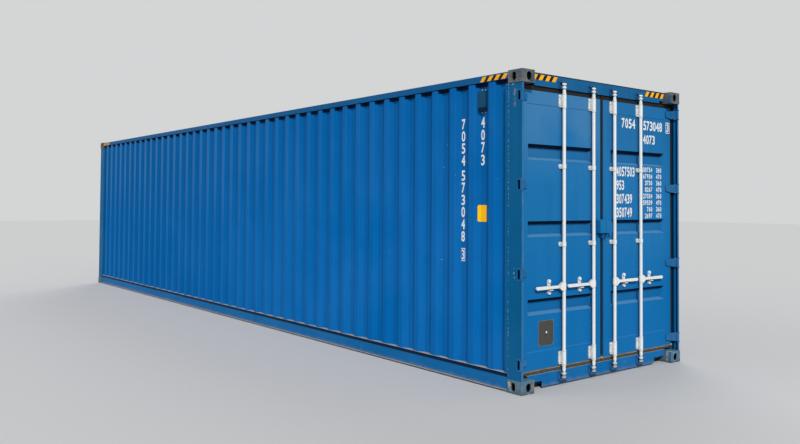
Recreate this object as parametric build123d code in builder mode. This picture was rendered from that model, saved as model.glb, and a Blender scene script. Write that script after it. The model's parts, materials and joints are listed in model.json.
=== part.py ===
from build123d import *
import os

os.makedirs("parts", exist_ok=True)

# Shipping container, 40 ft high cube, millimetres.
# X runs along the length with the doors at +X, the left side is -Y, +Z is up.
# The origin is the middle of the base, under the corner fittings.
# Sizes across the width are written for the right side and mirrored to the left.

# Overall sizes
length = 12192
width = 2438
height = 2896
end_x = length / 2
side_y = width / 2

# Corner fittings
fitting_x = 178
fitting_y = 162
fitting_z = 118
fitting_wall = 20
fitting_plate = 28
fitting_back = 15
slot_end_offset = 103.5
slot_side_offset = 89.5
slot_length = 124
slot_width = 63.5
aperture_height = 79.5
side_aperture_width = 51
end_aperture_width = 63.5
rail_end = end_x - fitting_x
rail_half = side_y - fitting_y

# Steel thicknesses
wall_sheet = 2
post_plate = 6
rail_plate = 4.5
member_plate = 4

# Side planes, set in from the outer faces of the fittings
post_inset = 6
crest_inset = 12
corrugation_depth = 36
post_y = side_y - post_inset
crest_y = side_y - crest_inset
recess_y = crest_y - corrugation_depth

# Bottom side rails
rail_bottom = 12.5
rail_height = 158
rail_web_inset = 15
rail_ledge = 7
rail_toe = 12
rail_flange = 44
rail_top = rail_bottom + rail_height
rail_web_y = side_y - rail_web_inset
rail_inner_y = rail_web_y - rail_flange

# Top side rails
top_rail_size = 60
top_rail_drop = 10
top_rail_top = height - top_rail_drop
top_rail_bottom = top_rail_top - top_rail_size

# Posts
wall_end_inset = 216
jamb_inset = 36
lip_step = 8
front_lip = 108
wall_end_x = end_x - wall_end_inset
jamb_y = side_y - jamb_inset
lip_y = jamb_y + lip_step
post_bottom = fitting_z
post_top = height - fitting_z

# Side wall corrugation
crest_flat = 72
crest_slope = 68
crest_pitch = 277.5
wall_end_flat = 87.25
crest_run = 2 * (wall_end_x - wall_end_flat - crest_slope) - crest_flat
crest_count = round(crest_run / crest_pitch) + 1

# Front wall corrugation
front_inset = 12
front_wall_inset = 54
front_depth = 45.6
front_crest_count = 9
front_flat = 104
front_slope = 18
front_end_flat = 95
front_plane_x = end_x - front_inset
front_wall_y = side_y - front_wall_inset

# Roof corrugation
roof_depth = 20
roof_crest_count = 56
roof_flat = 91
roof_slope = 13.5
roof_end_flat = 104.5

# Floor and cross members
member_bottom = 18
member_height = 122
member_flange = 45
member_count = 28
board_thickness = 28
floor_bottom = member_bottom + member_height
floor_top = floor_bottom + board_thickness

# Tunnel under the front end
tunnel_length = 3500
tunnel_width = 1029
tunnel_plate = 4
outrigger_count = 11

# Door opening
door_setback = 86
door_depth = 50
header_step = 2
header_depth = 108
header_drop = 8
header_height = 113
header_notch_width = 88
header_notch_height = 26
header_notch_depth = 72
sill_top = 136
notch_top = 70
notch_width = 192
door_face_x = end_x - door_setback
door_back_x = door_face_x - door_depth
header_face_x = door_face_x + header_step
header_back_x = header_face_x - header_depth
header_top = height - header_drop
header_bottom = header_top - header_height

# Door frames, panels and gaskets
door_gap = 48
door_lift = 44
door_drop = 47
door_clearance = 12
stile_width = 100
frame_rail_top = 126
frame_rail_bottom = 164
gasket_gap = 13
gasket_clearance = 7
gasket_depth = 24
gasket_setback = 12
tray_shares = (0.2229, 0.5016, 0.7786)
tray_mouth = 148
tray_floor = 96
tray_depth = 46
tray_end_slope = 34
tray_margin = 14
frame_inner_edge = door_gap / 2
frame_outer_edge = jamb_y - door_clearance
frame_bottom = sill_top + door_lift
frame_top = header_bottom - door_drop
frame_width = frame_outer_edge - frame_inner_edge
frame_height = frame_top - frame_bottom

# Hinges
pin_inset = 17
pin_radius = 10
pin_fit = 0.5
knuckle_radius = 16.5
hinge_count = 4
hinge_from_bottom = 80
hinge_from_top = 68
blade_height = 84
blade_end_height = 52
blade_plate = 14
blade_length = 94
blade_heel = 3
crank_half_x = 6
crank_half_y = 5
lug_plate = 10
lug_gap = 1.5
lug_depth = 60
lug_round = 12
lug_relief = 1
pin_x = end_x - pin_inset
pin_y = side_y - pin_inset
lug_x = end_x - lug_depth
notch_height = blade_height + 2 * (lug_gap + lug_plate)

# Lock bars, cams and keepers
rod_offset = 32
rod_radius = 16.5
rod_fit = 1
rod_shares = {"outer": 0.5, "inner": 0.122}
rod_below_sill = 71
rod_above_header = 52
cam_height = 66
cam_width = 49
cam_plate = 34
cam_nose = 17
cam_waist_radius = 12
collar_radius = 21
collar_height = 10
collar_gap = 2
keeper_cheek = 13
keeper_gap = 10
keeper_depth = 38
keeper_back = 12
keeper_finger = 14
keeper_web = 8
rod_x = door_face_x + rod_offset
rod_low = sill_top - rod_below_sill
rod_high = header_bottom + rod_above_header

# Rod brackets and guides
bracket_wall = 3
bracket_flange = 26
bracket_plate = 9
bracket_corner = 14
bracket_height = 120
bracket_from_bottom = 72
bracket_from_top = 68
guide_height = 42
guide_shares = (0.4443, 0.7306)

# Handles and their catches
hub_share = 0.2893
hub_height = 84
hub_core_height = 64
hub_radius = 21
hub_flat = 26
handle_pivot = 48
handle_tip_gap = 54
handle_plate = 12
handle_eye = 15
handle_neck = 26
handle_taper = 34
grip_height = 30
grip_length = 138
handle_pin = 6
lug_cheek = 5
lug_end = 34
lug_overhang = 16
cheek_fit = 1
catch_offset = 180
catch_width = 42
catch_plate = 7
catch_above = 74
catch_below = 70
seat_depth = 44
seat_gap = 8
knob_depth = 20
upper_knob_radius = 17
lower_knob_radius = 19
knob_margin = 1.5
knob_round = 5

# Lock box
box_reach = 90
box_gap = 2.6
box_share = 0.5069
box_height = 133
box_depth = 57
box_slant = 16
box_plate = 4
hasp_plate = 8
hasp_depth = 44
hasp_below = 46
hasp_hole = 9

# Data plate and ventilators
plate_width = 200
plate_from_edge = 260
plate_margin = 43
plate_below_tray = 58
plate_thick = 2
vent_fit = 3.5
vent_height = 190
vent_drop = 146
vent_step = 8
vent_clearance = 4
vent_wall = 4
vent_mouth = 30


def save(part, name):
    part.label = name
    export_step(part, f"parts/{name}.step")


def left_of(part):
    return mirror(part, about=Plane.XZ)


def front_of(part):
    return mirror(part, about=Plane.YZ)


def top_of(part):
    return mirror(part, about=Plane.XY.offset(height / 2))


def plan_prism(points, z_low, z_high):
    """A prism over an outline seen from above."""
    with BuildPart() as prism:
        with BuildSketch(Plane.XY.offset(z_low)):
            with BuildLine():
                Polyline(*points, close=True)
            make_face()
        extrude(amount=z_high - z_low)
    return prism.part


def cross_prism(points, x_low, x_high):
    """A prism along X over an outline of (y, z) points."""
    with BuildPart() as prism:
        with BuildSketch(Plane.YZ.offset(x_low)):
            with BuildLine():
                Polyline(*points, close=True)
            make_face()
        extrude(amount=x_high - x_low)
    return prism.part


def side_prism(points, y_low, y_high):
    """A prism along Y over an outline of (x, z) points."""
    with BuildPart() as prism:
        with BuildSketch(Plane.XZ.offset(-y_low)):
            with BuildLine():
                Polyline(*points, close=True)
            make_face()
        extrude(amount=-(y_high - y_low))
    return prism.part


def block(x_range, y_range, z_range):
    """A plain box between two limits on each axis."""
    size = [pair[1] - pair[0] for pair in (x_range, y_range, z_range)]
    centre = [(pair[0] + pair[1]) / 2 for pair in (x_range, y_range, z_range)]
    with BuildPart() as box:
        with Locations(tuple(centre)):
            Box(*size)
    return box.part


def together(parts):
    """Several solids of one piece, in one node."""
    with BuildPart() as group:
        add(parts)
    return group.part


def spread(count, flat, slope, end_flat, first, last):
    """Middles of equal corrugations between the end flats of a sheet."""
    start = first + end_flat + slope + flat / 2
    finish = last - end_flat - slope - flat / 2
    return [start + (finish - start) * index / (count - 1) for index in range(count)]


def corrugation(centres, flat, slope, crest, recess, first, last):
    """Points along a trapezoid sheet, from the first end to the last."""
    points = [(first, recess)]
    for centre in centres:
        points.append((centre - flat / 2 - slope, recess))
        points.append((centre - flat / 2, crest))
        points.append((centre + flat / 2, crest))
        points.append((centre + flat / 2 + slope, recess))
    points.append((last, recess))
    return points


def sheet_outline(points, thickness):
    """Closed outline of a sheet whose inner face lies one thickness below."""
    inner = [(along, depth - thickness) for along, depth in reversed(points)]
    return points + inner


def at_share(share):
    """Height on the door at a share of its frame."""
    return frame_bottom + share * frame_height


hinge_low = frame_bottom + hinge_from_bottom
hinge_high = frame_top - hinge_from_top
hinge_step = (hinge_high - hinge_low) / (hinge_count - 1)
hinge_heights = [hinge_low + hinge_step * index for index in range(hinge_count)]
tray_heights = [at_share(share) for share in tray_shares]
rod_ys = {rod: frame_inner_edge + share * frame_width for rod, share in rod_shares.items()}
handle_length = rod_ys["outer"] - rod_ys["inner"] - handle_tip_gap
hub_z = at_share(hub_share)

# Corner fittings: hollow castings with a slot and two side apertures each
cavity_x = fitting_x - fitting_wall - fitting_back
cavity_y = fitting_y - fitting_wall - fitting_back
cavity_z = fitting_z - fitting_plate - fitting_back
with BuildPart() as fittings:
    with Locations((end_x - fitting_x / 2, side_y - fitting_y / 2, fitting_z / 2)):
        Box(fitting_x, fitting_y, fitting_z)
    cavity_centre = (
        end_x - fitting_wall - cavity_x / 2,
        side_y - fitting_wall - cavity_y / 2,
        fitting_plate + cavity_z / 2,
    )
    with Locations(cavity_centre):
        Box(cavity_x, cavity_y, cavity_z, mode=Mode.SUBTRACT)
    with BuildSketch(Plane.XY):
        with Locations((end_x - slot_end_offset, side_y - slot_side_offset)):
            SlotOverall(slot_length, slot_width)
    extrude(amount=fitting_plate, mode=Mode.SUBTRACT)
    with BuildSketch(Plane.XZ.offset(-side_y)):
        with Locations((end_x - slot_end_offset, fitting_z / 2)):
            SlotOverall(aperture_height, side_aperture_width, rotation=90)
    extrude(amount=fitting_wall, mode=Mode.SUBTRACT)
    with BuildSketch(Plane.YZ.offset(end_x)):
        with Locations((side_y - slot_side_offset, fitting_z / 2)):
            SlotOverall(aperture_height, end_aperture_width, rotation=90)
    extrude(amount=-fitting_wall, mode=Mode.SUBTRACT)
    mirror(about=Plane.XZ)

save(fittings.part, "rear_bottom_corner_fittings")
save(top_of(fittings.part), "rear_top_corner_fittings")
save(front_of(fittings.part), "front_bottom_corner_fittings")
save(front_of(top_of(fittings.part)), "front_top_corner_fittings")

# Rear posts: a pressed outer post and an inner channel beside the door opening,
# with the outer corner notched at each hinge
channel_back_x = door_back_x - door_depth
channel_face_x = door_face_x - post_plate
post_inner_y = post_y - post_plate
with BuildPart() as rear_post:
    with BuildSketch(Plane.XY.offset(post_bottom)):
        with BuildLine():
            Polyline(
                (wall_end_x, recess_y - post_plate),
                (wall_end_x, post_y),
                (end_x - post_plate, post_y),
                (end_x - post_plate, lip_y),
                (end_x - 2 * post_plate, lip_y),
                (end_x - 2 * post_plate, post_inner_y),
                (channel_face_x, post_inner_y),
                (channel_face_x, jamb_y),
                (channel_back_x, jamb_y),
                (channel_back_x, post_inner_y),
                (wall_end_x + post_plate, post_inner_y),
                (wall_end_x + post_plate, recess_y - post_plate),
                close=True,
            )
        make_face()
        with Locations(((channel_back_x + channel_face_x) / 2, (jamb_y + post_inner_y) / 2)):
            Rectangle(
                channel_face_x - channel_back_x - 2 * post_plate,
                post_inner_y - jamb_y - 2 * post_plate,
                mode=Mode.SUBTRACT,
            )
    extrude(amount=post_top - post_bottom)
    for z in hinge_heights:
        hinge_notch = (z - notch_height / 2, z + notch_height / 2)
        add(block((lug_x, end_x), (jamb_y, side_y), hinge_notch), mode=Mode.SUBTRACT)
    wall_foot = ((wall_end_x, rail_end), (rail_inner_y, side_y), (post_bottom, rail_top))
    add(block(*wall_foot), mode=Mode.SUBTRACT)

save(rear_post.part, "right_rear_post")
save(left_of(rear_post.part), "left_rear_post")

# Hinge lugs and pins, welded into the notches of the rear posts
with BuildPart() as hinge_lugs:
    for z in hinge_heights:
        lug_base = z - notch_height / 2
        for z_lug in (lug_base, lug_base + notch_height - lug_plate):
            with BuildSketch(Plane.XY.offset(z_lug)):
                with BuildLine():
                    Polyline(
                        (lug_x, post_y),
                        (pin_x - lug_round, side_y - lug_relief),
                        (end_x - lug_relief, side_y - lug_relief),
                        (end_x - lug_relief, pin_y - lug_round),
                        (end_x - 2 * post_plate, lip_y),
                        (lug_x, post_y - 2 * post_plate),
                        close=True,
                    )
                make_face()
            extrude(amount=lug_plate)
        with BuildSketch(Plane.XY.offset(lug_base)):
            with Locations((pin_x, pin_y)):
                Circle(pin_radius)
        extrude(amount=notch_height)
    mirror(about=Plane.XZ)

save(hinge_lugs.part, "hinge_lugs")

# Front posts: a bent plate around each front corner
front_lip_y = post_y - front_lip
front_post_points = (
    (-wall_end_x, recess_y - post_plate),
    (-wall_end_x, post_y),
    (-end_x + post_plate, post_y),
    (-end_x + post_plate, front_lip_y),
    (-end_x + 2 * post_plate, front_lip_y),
    (-end_x + 2 * post_plate, post_inner_y),
    (-wall_end_x - post_plate, post_inner_y),
    (-wall_end_x - post_plate, recess_y - post_plate),
)
with BuildPart() as front_posts:
    add(plan_prism(front_post_points, post_bottom, post_top))
    add(front_of(block(*wall_foot)), mode=Mode.SUBTRACT)
    mirror(about=Plane.XZ)

save(front_posts.part, "front_corner_posts")

# Bottom side rails: a pressed web with an overhanging ledge and a bottom toe
rail_points = (
    (rail_inner_y, rail_top),
    (rail_web_y + rail_ledge, rail_top),
    (rail_web_y + rail_ledge, rail_top - rail_plate),
    (rail_web_y, rail_top - rail_plate),
    (rail_web_y, rail_bottom + rail_plate),
    (rail_web_y + rail_toe, rail_bottom + rail_plate),
    (rail_web_y + rail_toe, rail_bottom),
    (rail_web_y - rail_plate, rail_bottom),
    (rail_web_y - rail_plate, rail_top - rail_plate),
    (rail_inner_y, rail_top - rail_plate),
)
bottom_rail = cross_prism(rail_points, -rail_end, rail_end)
save(bottom_rail, "right_bottom_side_rail")
save(left_of(bottom_rail), "left_bottom_side_rail")

# Top side rails: square tubes between the top fittings
tube_bore = top_rail_size - 2 * rail_plate
with BuildPart() as top_rails:
    with BuildSketch(Plane.YZ.offset(-rail_end)):
        with Locations((post_y - top_rail_size / 2, top_rail_top - top_rail_size / 2)):
            Rectangle(top_rail_size, top_rail_size)
            Rectangle(tube_bore, tube_bore, mode=Mode.SUBTRACT)
    extrude(amount=2 * rail_end)
    mirror(about=Plane.XZ)

save(top_rails.part, "top_side_rails")

# Side walls: trapezoid sheet standing on the bottom rails
crests = spread(crest_count, crest_flat, crest_slope, wall_end_flat, -wall_end_x, wall_end_x)
wall_points = corrugation(
    crests, crest_flat, crest_slope, crest_y, recess_y, -wall_end_x, wall_end_x
)
side_wall = plan_prism(sheet_outline(wall_points, wall_sheet), rail_top, top_rail_bottom)
save(side_wall, "right_side_wall")
save(left_of(side_wall), "left_side_wall")

# Front wall: deeper trapezoid sheet between the front posts
front_crests = spread(
    front_crest_count, front_flat, front_slope, front_end_flat, -front_wall_y, front_wall_y
)
front_points = corrugation(
    front_crests,
    front_flat,
    front_slope,
    front_plane_x,
    front_plane_x - front_depth,
    -front_wall_y,
    front_wall_y,
)
front_sheet = [(-depth, along) for along, depth in sheet_outline(front_points, wall_sheet)]
save(plan_prism(front_sheet, floor_top, post_top), "front_wall")

# Roof: sheet with shallow corrugations across the width
roof_y = post_y - top_rail_size
roof_crests = spread(
    roof_crest_count, roof_flat, roof_slope, roof_end_flat, -rail_end, header_back_x
)
roof_points = corrugation(
    roof_crests,
    roof_flat,
    roof_slope,
    top_rail_top,
    top_rail_top - roof_depth,
    -rail_end,
    header_back_x,
)
save(side_prism(sheet_outline(roof_points, wall_sheet), -roof_y, roof_y), "roof")

# Front top rail: a box section with a top plate that reaches the roof
front_rail_x = -end_x + post_plate
front_rail_back = front_rail_x + top_rail_size
with BuildPart() as front_top_rail:
    add(block((front_rail_x, front_rail_back), (-rail_half, rail_half), (post_top, top_rail_top)))
    add(
        block(
            (front_rail_x + post_plate, front_rail_back - post_plate),
            (-rail_half, rail_half),
            (post_top + post_plate, top_rail_top - post_plate),
        ),
        mode=Mode.SUBTRACT,
    )
    add(
        block(
            (front_rail_back, -rail_end),
            (-rail_half, rail_half),
            (top_rail_top - post_plate, top_rail_top),
        )
    )

save(front_top_rail.part, "front_top_rail")

# Front sill: a pressing open at the back, raised over the tunnel
tunnel_half = tunnel_width / 2
front_sill_points = (
    (-rail_half, rail_bottom),
    (-tunnel_half, rail_bottom),
    (-tunnel_half, floor_bottom),
    (tunnel_half, floor_bottom),
    (tunnel_half, rail_bottom),
    (rail_half, rail_bottom),
    (rail_half, floor_top),
    (-rail_half, floor_top),
)
sill_pocket = block(
    (front_rail_x + post_plate, front_rail_back),
    (tunnel_half + post_plate, rail_half),
    (rail_bottom + post_plate, floor_top - post_plate),
)
with BuildPart() as front_sill:
    add(cross_prism(front_sill_points, front_rail_x, front_rail_back))
    add([sill_pocket, left_of(sill_pocket)], mode=Mode.SUBTRACT)

save(front_sill.part, "front_sill")

# Door header: a pressed box across the top of the door opening, notched beside the fittings
header_notch = block(
    (header_face_x - header_notch_depth, header_face_x),
    (rail_half - header_notch_width, rail_half),
    (header_bottom, header_bottom + header_notch_height),
)
with BuildPart() as header:
    with BuildSketch(Plane.XZ.offset(rail_half)):
        with Locations(((header_back_x + header_face_x) / 2, header_top - header_height / 2)):
            Rectangle(header_depth, header_height)
            Rectangle(
                header_depth - 2 * post_plate,
                header_height - 2 * post_plate,
                mode=Mode.SUBTRACT,
            )
    extrude(amount=-2 * rail_half)
    add([header_notch, left_of(header_notch)], mode=Mode.SUBTRACT)

save(header.part, "door_header")

# Door sill: an open pressing with a notch beside each bottom fitting
sill_points = (
    (header_back_x, rail_bottom),
    (header_back_x, floor_top),
    (door_back_x - 2 * post_plate, floor_top),
    (door_back_x - post_plate, sill_top),
    (header_face_x, sill_top),
    (header_face_x, rail_bottom),
    (header_face_x - post_plate, rail_bottom),
    (header_face_x - post_plate, sill_top - post_plate),
    (door_back_x - 2 * post_plate, sill_top - post_plate),
    (door_back_x - 3 * post_plate, floor_top - post_plate),
    (header_back_x + post_plate, floor_top - post_plate),
    (header_back_x + post_plate, rail_bottom),
)
sill_notch = block(
    (header_face_x - post_plate, header_face_x),
    (rail_half - notch_width, rail_half),
    (rail_bottom, notch_top),
)
with BuildPart() as sill:
    add(side_prism(sill_points, -rail_half, rail_half))
    add([sill_notch, left_of(sill_notch)], mode=Mode.SUBTRACT)

save(sill.part, "door_sill")

# Floor boards between the front sill and the door sill
board_x = (front_rail_back, header_back_x)
save(block(board_x, (-rail_inner_y, rail_inner_y), (floor_bottom, floor_top)), "floor")

# Cross members and the short members beside the tunnel
member_points = (
    (0, member_bottom),
    (member_flange, member_bottom),
    (member_flange, member_bottom + member_plate),
    (member_plate, member_bottom + member_plate),
    (member_plate, floor_bottom - member_plate),
    (member_flange, floor_bottom - member_plate),
    (member_flange, floor_bottom),
    (0, floor_bottom),
)
member_half = rail_web_y - rail_plate
tunnel_end_x = front_rail_x + tunnel_length


def row_of_members(count, first_x, last_x, y_low, y_high):
    """Equal channels across the base, the last one short of the far end."""
    members = []
    for index in range(count):
        x_member = first_x + (last_x - first_x) * index / count
        shifted = [(x_member + x, z) for x, z in member_points]
        members.append(side_prism(shifted, y_low, y_high))
    return together(members)


cross_members = row_of_members(
    member_count, tunnel_end_x + member_flange, header_back_x, -member_half, member_half
)
save(cross_members, "cross_members")
right_outriggers = row_of_members(
    outrigger_count,
    -rail_end + member_flange,
    tunnel_end_x,
    tunnel_half + tunnel_plate,
    member_half,
)
save(right_outriggers, "right_tunnel_outriggers")
save(left_of(right_outriggers), "left_tunnel_outriggers")

# Tunnel for a goose-neck chassis, open below
tunnel_points = (
    (-tunnel_half - tunnel_plate, member_bottom),
    (-tunnel_half - tunnel_plate, floor_bottom),
    (tunnel_half + tunnel_plate, floor_bottom),
    (tunnel_half + tunnel_plate, member_bottom),
    (tunnel_half, member_bottom),
    (tunnel_half, floor_bottom - tunnel_plate),
    (-tunnel_half, floor_bottom - tunnel_plate),
    (-tunnel_half, member_bottom),
)
save(cross_prism(tunnel_points, front_rail_back, tunnel_end_x), "gooseneck_tunnel")

# Ventilators: hoods in one recess of each side wall, open at the bottom
vent_x = (crests[-1] + crests[-2]) / 2
recess_flat = crests[-1] - crests[-2] - crest_flat - 2 * crest_slope
vent_back = recess_flat - vent_fit
vent_width = vent_back + 2 * vent_step * crest_slope / corrugation_depth
vent_top = height - vent_drop
vent_bottom = vent_top - vent_height
vent_front_y = crest_y - vent_clearance
with BuildPart() as ventilator:
    with BuildSketch(Plane.XY.offset(vent_bottom)):
        with BuildLine():
            Polyline(
                (vent_x - vent_back / 2, recess_y),
                (vent_x - vent_width / 2, recess_y + vent_step),
                (vent_x - vent_width / 2, vent_front_y),
                (vent_x + vent_width / 2, vent_front_y),
                (vent_x + vent_width / 2, recess_y + vent_step),
                (vent_x + vent_back / 2, recess_y),
                close=True,
            )
        make_face()
    extrude(amount=vent_height)
    add(
        block(
            (vent_x - vent_width / 2 + vent_wall, vent_x + vent_width / 2 - vent_wall),
            (recess_y + vent_step, vent_front_y - vent_wall),
            (vent_bottom, vent_bottom + vent_mouth),
        ),
        mode=Mode.SUBTRACT,
    )

right_vent = front_of(ventilator.part)
save(together([right_vent, left_of(ventilator.part)]), "ventilators")

# Cam keepers: a pair of forked cheeks and a web around each end of every lock bar
cheek_inner = cam_width / 2 + keeper_gap
cheek_outer = cheek_inner + keeper_cheek


def keeper(y, base, tip):
    """A keeper beside the end of a rod, open towards the rod and the front."""
    way = 1 if tip > base else -1
    near = base + way * keeper_gap
    web = tip + way * keeper_gap
    far = web + way * keeper_web
    back_x = header_face_x + keeper_back
    front_x = header_face_x + keeper_depth
    fork = (
        (header_face_x, near),
        (front_x, near),
        (front_x, near + way * keeper_finger),
        (back_x, near + way * keeper_finger),
        (back_x, far - way * keeper_finger),
        (front_x, far - way * keeper_finger),
        (front_x, far),
        (header_face_x, far),
    )
    web_z = (min(web, far), max(web, far))
    with BuildPart() as forging:
        add(side_prism(fork, y - cheek_outer, y - cheek_inner))
        add(side_prism(fork, y + cheek_inner, y + cheek_outer))
        add(block((header_face_x, front_x), (y - cheek_outer, y + cheek_outer), web_z))
    return forging.part


for place, base, tip in (("header", header_bottom, rod_high), ("sill", sill_top, rod_low)):
    right_keepers = [keeper(y, base, tip) for y in rod_ys.values()]
    left_keepers = [left_of(part) for part in right_keepers]
    save(together(right_keepers + left_keepers), f"{place}_cam_keepers")

# Doors: everything is made for the right door and mirrored for the left one
panel_low = frame_bottom + frame_rail_bottom
panel_high = frame_top - frame_rail_top
panel_y = (frame_inner_edge + stile_width, frame_outer_edge - stile_width)
frame_middle = ((frame_inner_edge + frame_outer_edge) / 2, (frame_bottom + frame_top) / 2)
panel_middle = ((panel_y[0] + panel_y[1]) / 2, (panel_low + panel_high) / 2)

with BuildPart() as door_frame:
    with BuildSketch(Plane.YZ.offset(door_back_x)):
        with Locations(frame_middle):
            Rectangle(frame_width, frame_height)
        with Locations(panel_middle):
            Rectangle(panel_y[1] - panel_y[0], panel_high - panel_low, mode=Mode.SUBTRACT)
    extrude(amount=door_depth)

# Door panel: flat sheet with three pressed trays whose ends are mitred
tray_length = panel_y[1] - panel_y[0] - 2 * tray_margin
with BuildPart() as door_panel:
    add(block((door_face_x - wall_sheet, door_face_x), panel_y, (panel_low, panel_high)))
    for z in tray_heights:
        with BuildSketch(Plane.YZ.offset(door_face_x)):
            with Locations((panel_middle[0], z)):
                Rectangle(tray_length, tray_mouth)
        with BuildSketch(Plane.YZ.offset(door_face_x - tray_depth - wall_sheet)):
            with Locations((panel_middle[0], z)):
                Rectangle(tray_length - 2 * tray_end_slope, tray_floor + 2 * wall_sheet)
        loft()
    for z in tray_heights:
        with BuildSketch(Plane.YZ.offset(door_face_x)):
            with Locations((panel_middle[0], z)):
                Rectangle(tray_length - 2 * wall_sheet, tray_mouth - 2 * wall_sheet)
        with BuildSketch(Plane.YZ.offset(door_face_x - tray_depth)):
            with Locations((panel_middle[0], z)):
                Rectangle(tray_length - 2 * tray_end_slope - 2 * wall_sheet, tray_floor)
        loft(mode=Mode.SUBTRACT)

# Door gasket: a rubber strip all round the frame
gasket_y = (gasket_gap / 2, jamb_y - gasket_clearance)
gasket_z = (sill_top + gasket_clearance, header_bottom - gasket_clearance)
with BuildPart() as door_gasket:
    with BuildSketch(Plane.YZ.offset(door_face_x - gasket_setback - gasket_depth)):
        with Locations((sum(gasket_y) / 2, sum(gasket_z) / 2)):
            Rectangle(gasket_y[1] - gasket_y[0], gasket_z[1] - gasket_z[0])
        with Locations(frame_middle):
            Rectangle(frame_width, frame_height, mode=Mode.SUBTRACT)
    extrude(amount=gasket_depth)

# Hinge blades: a knuckle on the pin and a cranked strap that tapers along the door frame
blade_end_y = frame_outer_edge - blade_length
taper = (blade_height - blade_end_height) / 2
with BuildPart() as door_hinges:
    for z in hinge_heights:
        blade_low = z - blade_height / 2
        blade_high = z + blade_height / 2
        with BuildSketch(Plane.XY.offset(blade_low)):
            with BuildLine():
                Polyline(
                    (door_face_x, blade_end_y),
                    (door_face_x + blade_plate, blade_end_y),
                    (door_face_x + blade_plate, frame_outer_edge - blade_plate),
                    (pin_x + crank_half_x, pin_y - crank_half_y),
                    (pin_x - crank_half_x, pin_y + crank_half_y),
                    (door_face_x, frame_outer_edge - blade_heel),
                    close=True,
                )
            make_face()
            with Locations((pin_x, pin_y)):
                Circle(knuckle_radius)
                Circle(pin_radius + pin_fit, mode=Mode.SUBTRACT)
        extrude(amount=blade_height)
        for z_edge, step in ((blade_low, taper), (blade_high, -taper)):
            wedge = (
                (blade_end_y, z_edge),
                (frame_outer_edge, z_edge),
                (blade_end_y, z_edge + step),
            )
            wedge_reach = (door_face_x, door_face_x + blade_plate)
            add(cross_prism(wedge, *wedge_reach), mode=Mode.SUBTRACT)


# Rod brackets and guides: a base plate and an arch over each rod
def strap(y, z, tall):
    """A bracket on the door with an arch that holds a rod."""
    bore = rod_radius + rod_fit
    arch = bore + bracket_wall
    with BuildPart() as bracket:
        with BuildSketch(Plane.XY.offset(z - tall / 2)):
            with Locations((rod_x, y)):
                Circle(arch)
            with Locations((door_face_x + rod_offset / 2, y)):
                Rectangle(rod_offset, 2 * arch)
            with Locations((rod_x, y)):
                Circle(bore, mode=Mode.SUBTRACT)
            with Locations((door_face_x + rod_offset / 2, y)):
                Rectangle(rod_offset, 2 * bore, mode=Mode.SUBTRACT)
        extrude(amount=tall)
        with BuildSketch(Plane.YZ.offset(door_face_x)):
            with Locations((y, z)):
                RectangleRounded(2 * (arch + bracket_flange), tall, bracket_corner)
        extrude(amount=bracket_plate)
    return bracket.part


bracket_heights = (frame_bottom + bracket_from_bottom, frame_top - bracket_from_top)
brackets = []
for y in rod_ys.values():
    brackets += [strap(y, z, bracket_height) for z in bracket_heights]
    brackets += [strap(y, at_share(share), guide_height) for share in guide_shares]
rod_brackets = together(brackets)

# Handle catches: a rounded plate on the door with two knobs and a seat under the handle
seat_top = hub_z - handle_neck / 2 - seat_gap
with BuildPart() as handle_catches:
    for y in rod_ys.values():
        catch_y = y + catch_offset
        catch_middle = (catch_y, hub_z + (catch_above - catch_below) / 2)
        with BuildSketch(Plane.YZ.offset(door_face_x)):
            with Locations(catch_middle):
                SlotOverall(catch_above + catch_below, catch_width, rotation=90)
        extrude(amount=catch_plate)
        with BuildSketch(Plane.YZ.offset(door_face_x)):
            with Locations((catch_y, hub_z + catch_above - knob_margin - upper_knob_radius)):
                Circle(upper_knob_radius)
            with Locations((catch_y, hub_z - catch_below + knob_margin + lower_knob_radius)):
                Circle(lower_knob_radius)
        extrude(amount=knob_depth)
        seat = (
            (door_face_x, door_face_x + seat_depth),
            (catch_y - catch_width / 2, catch_y + catch_width / 2),
            (seat_top - catch_plate, seat_top),
        )
        add(block(*seat))
    knob_faces = handle_catches.faces().filter_by(
        lambda face: abs(face.center().X - door_face_x - knob_depth) < knob_round
        and face.normal_at().X > 1 - pin_fit
    )
    fillet(knob_faces.edges(), radius=knob_round)


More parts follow.
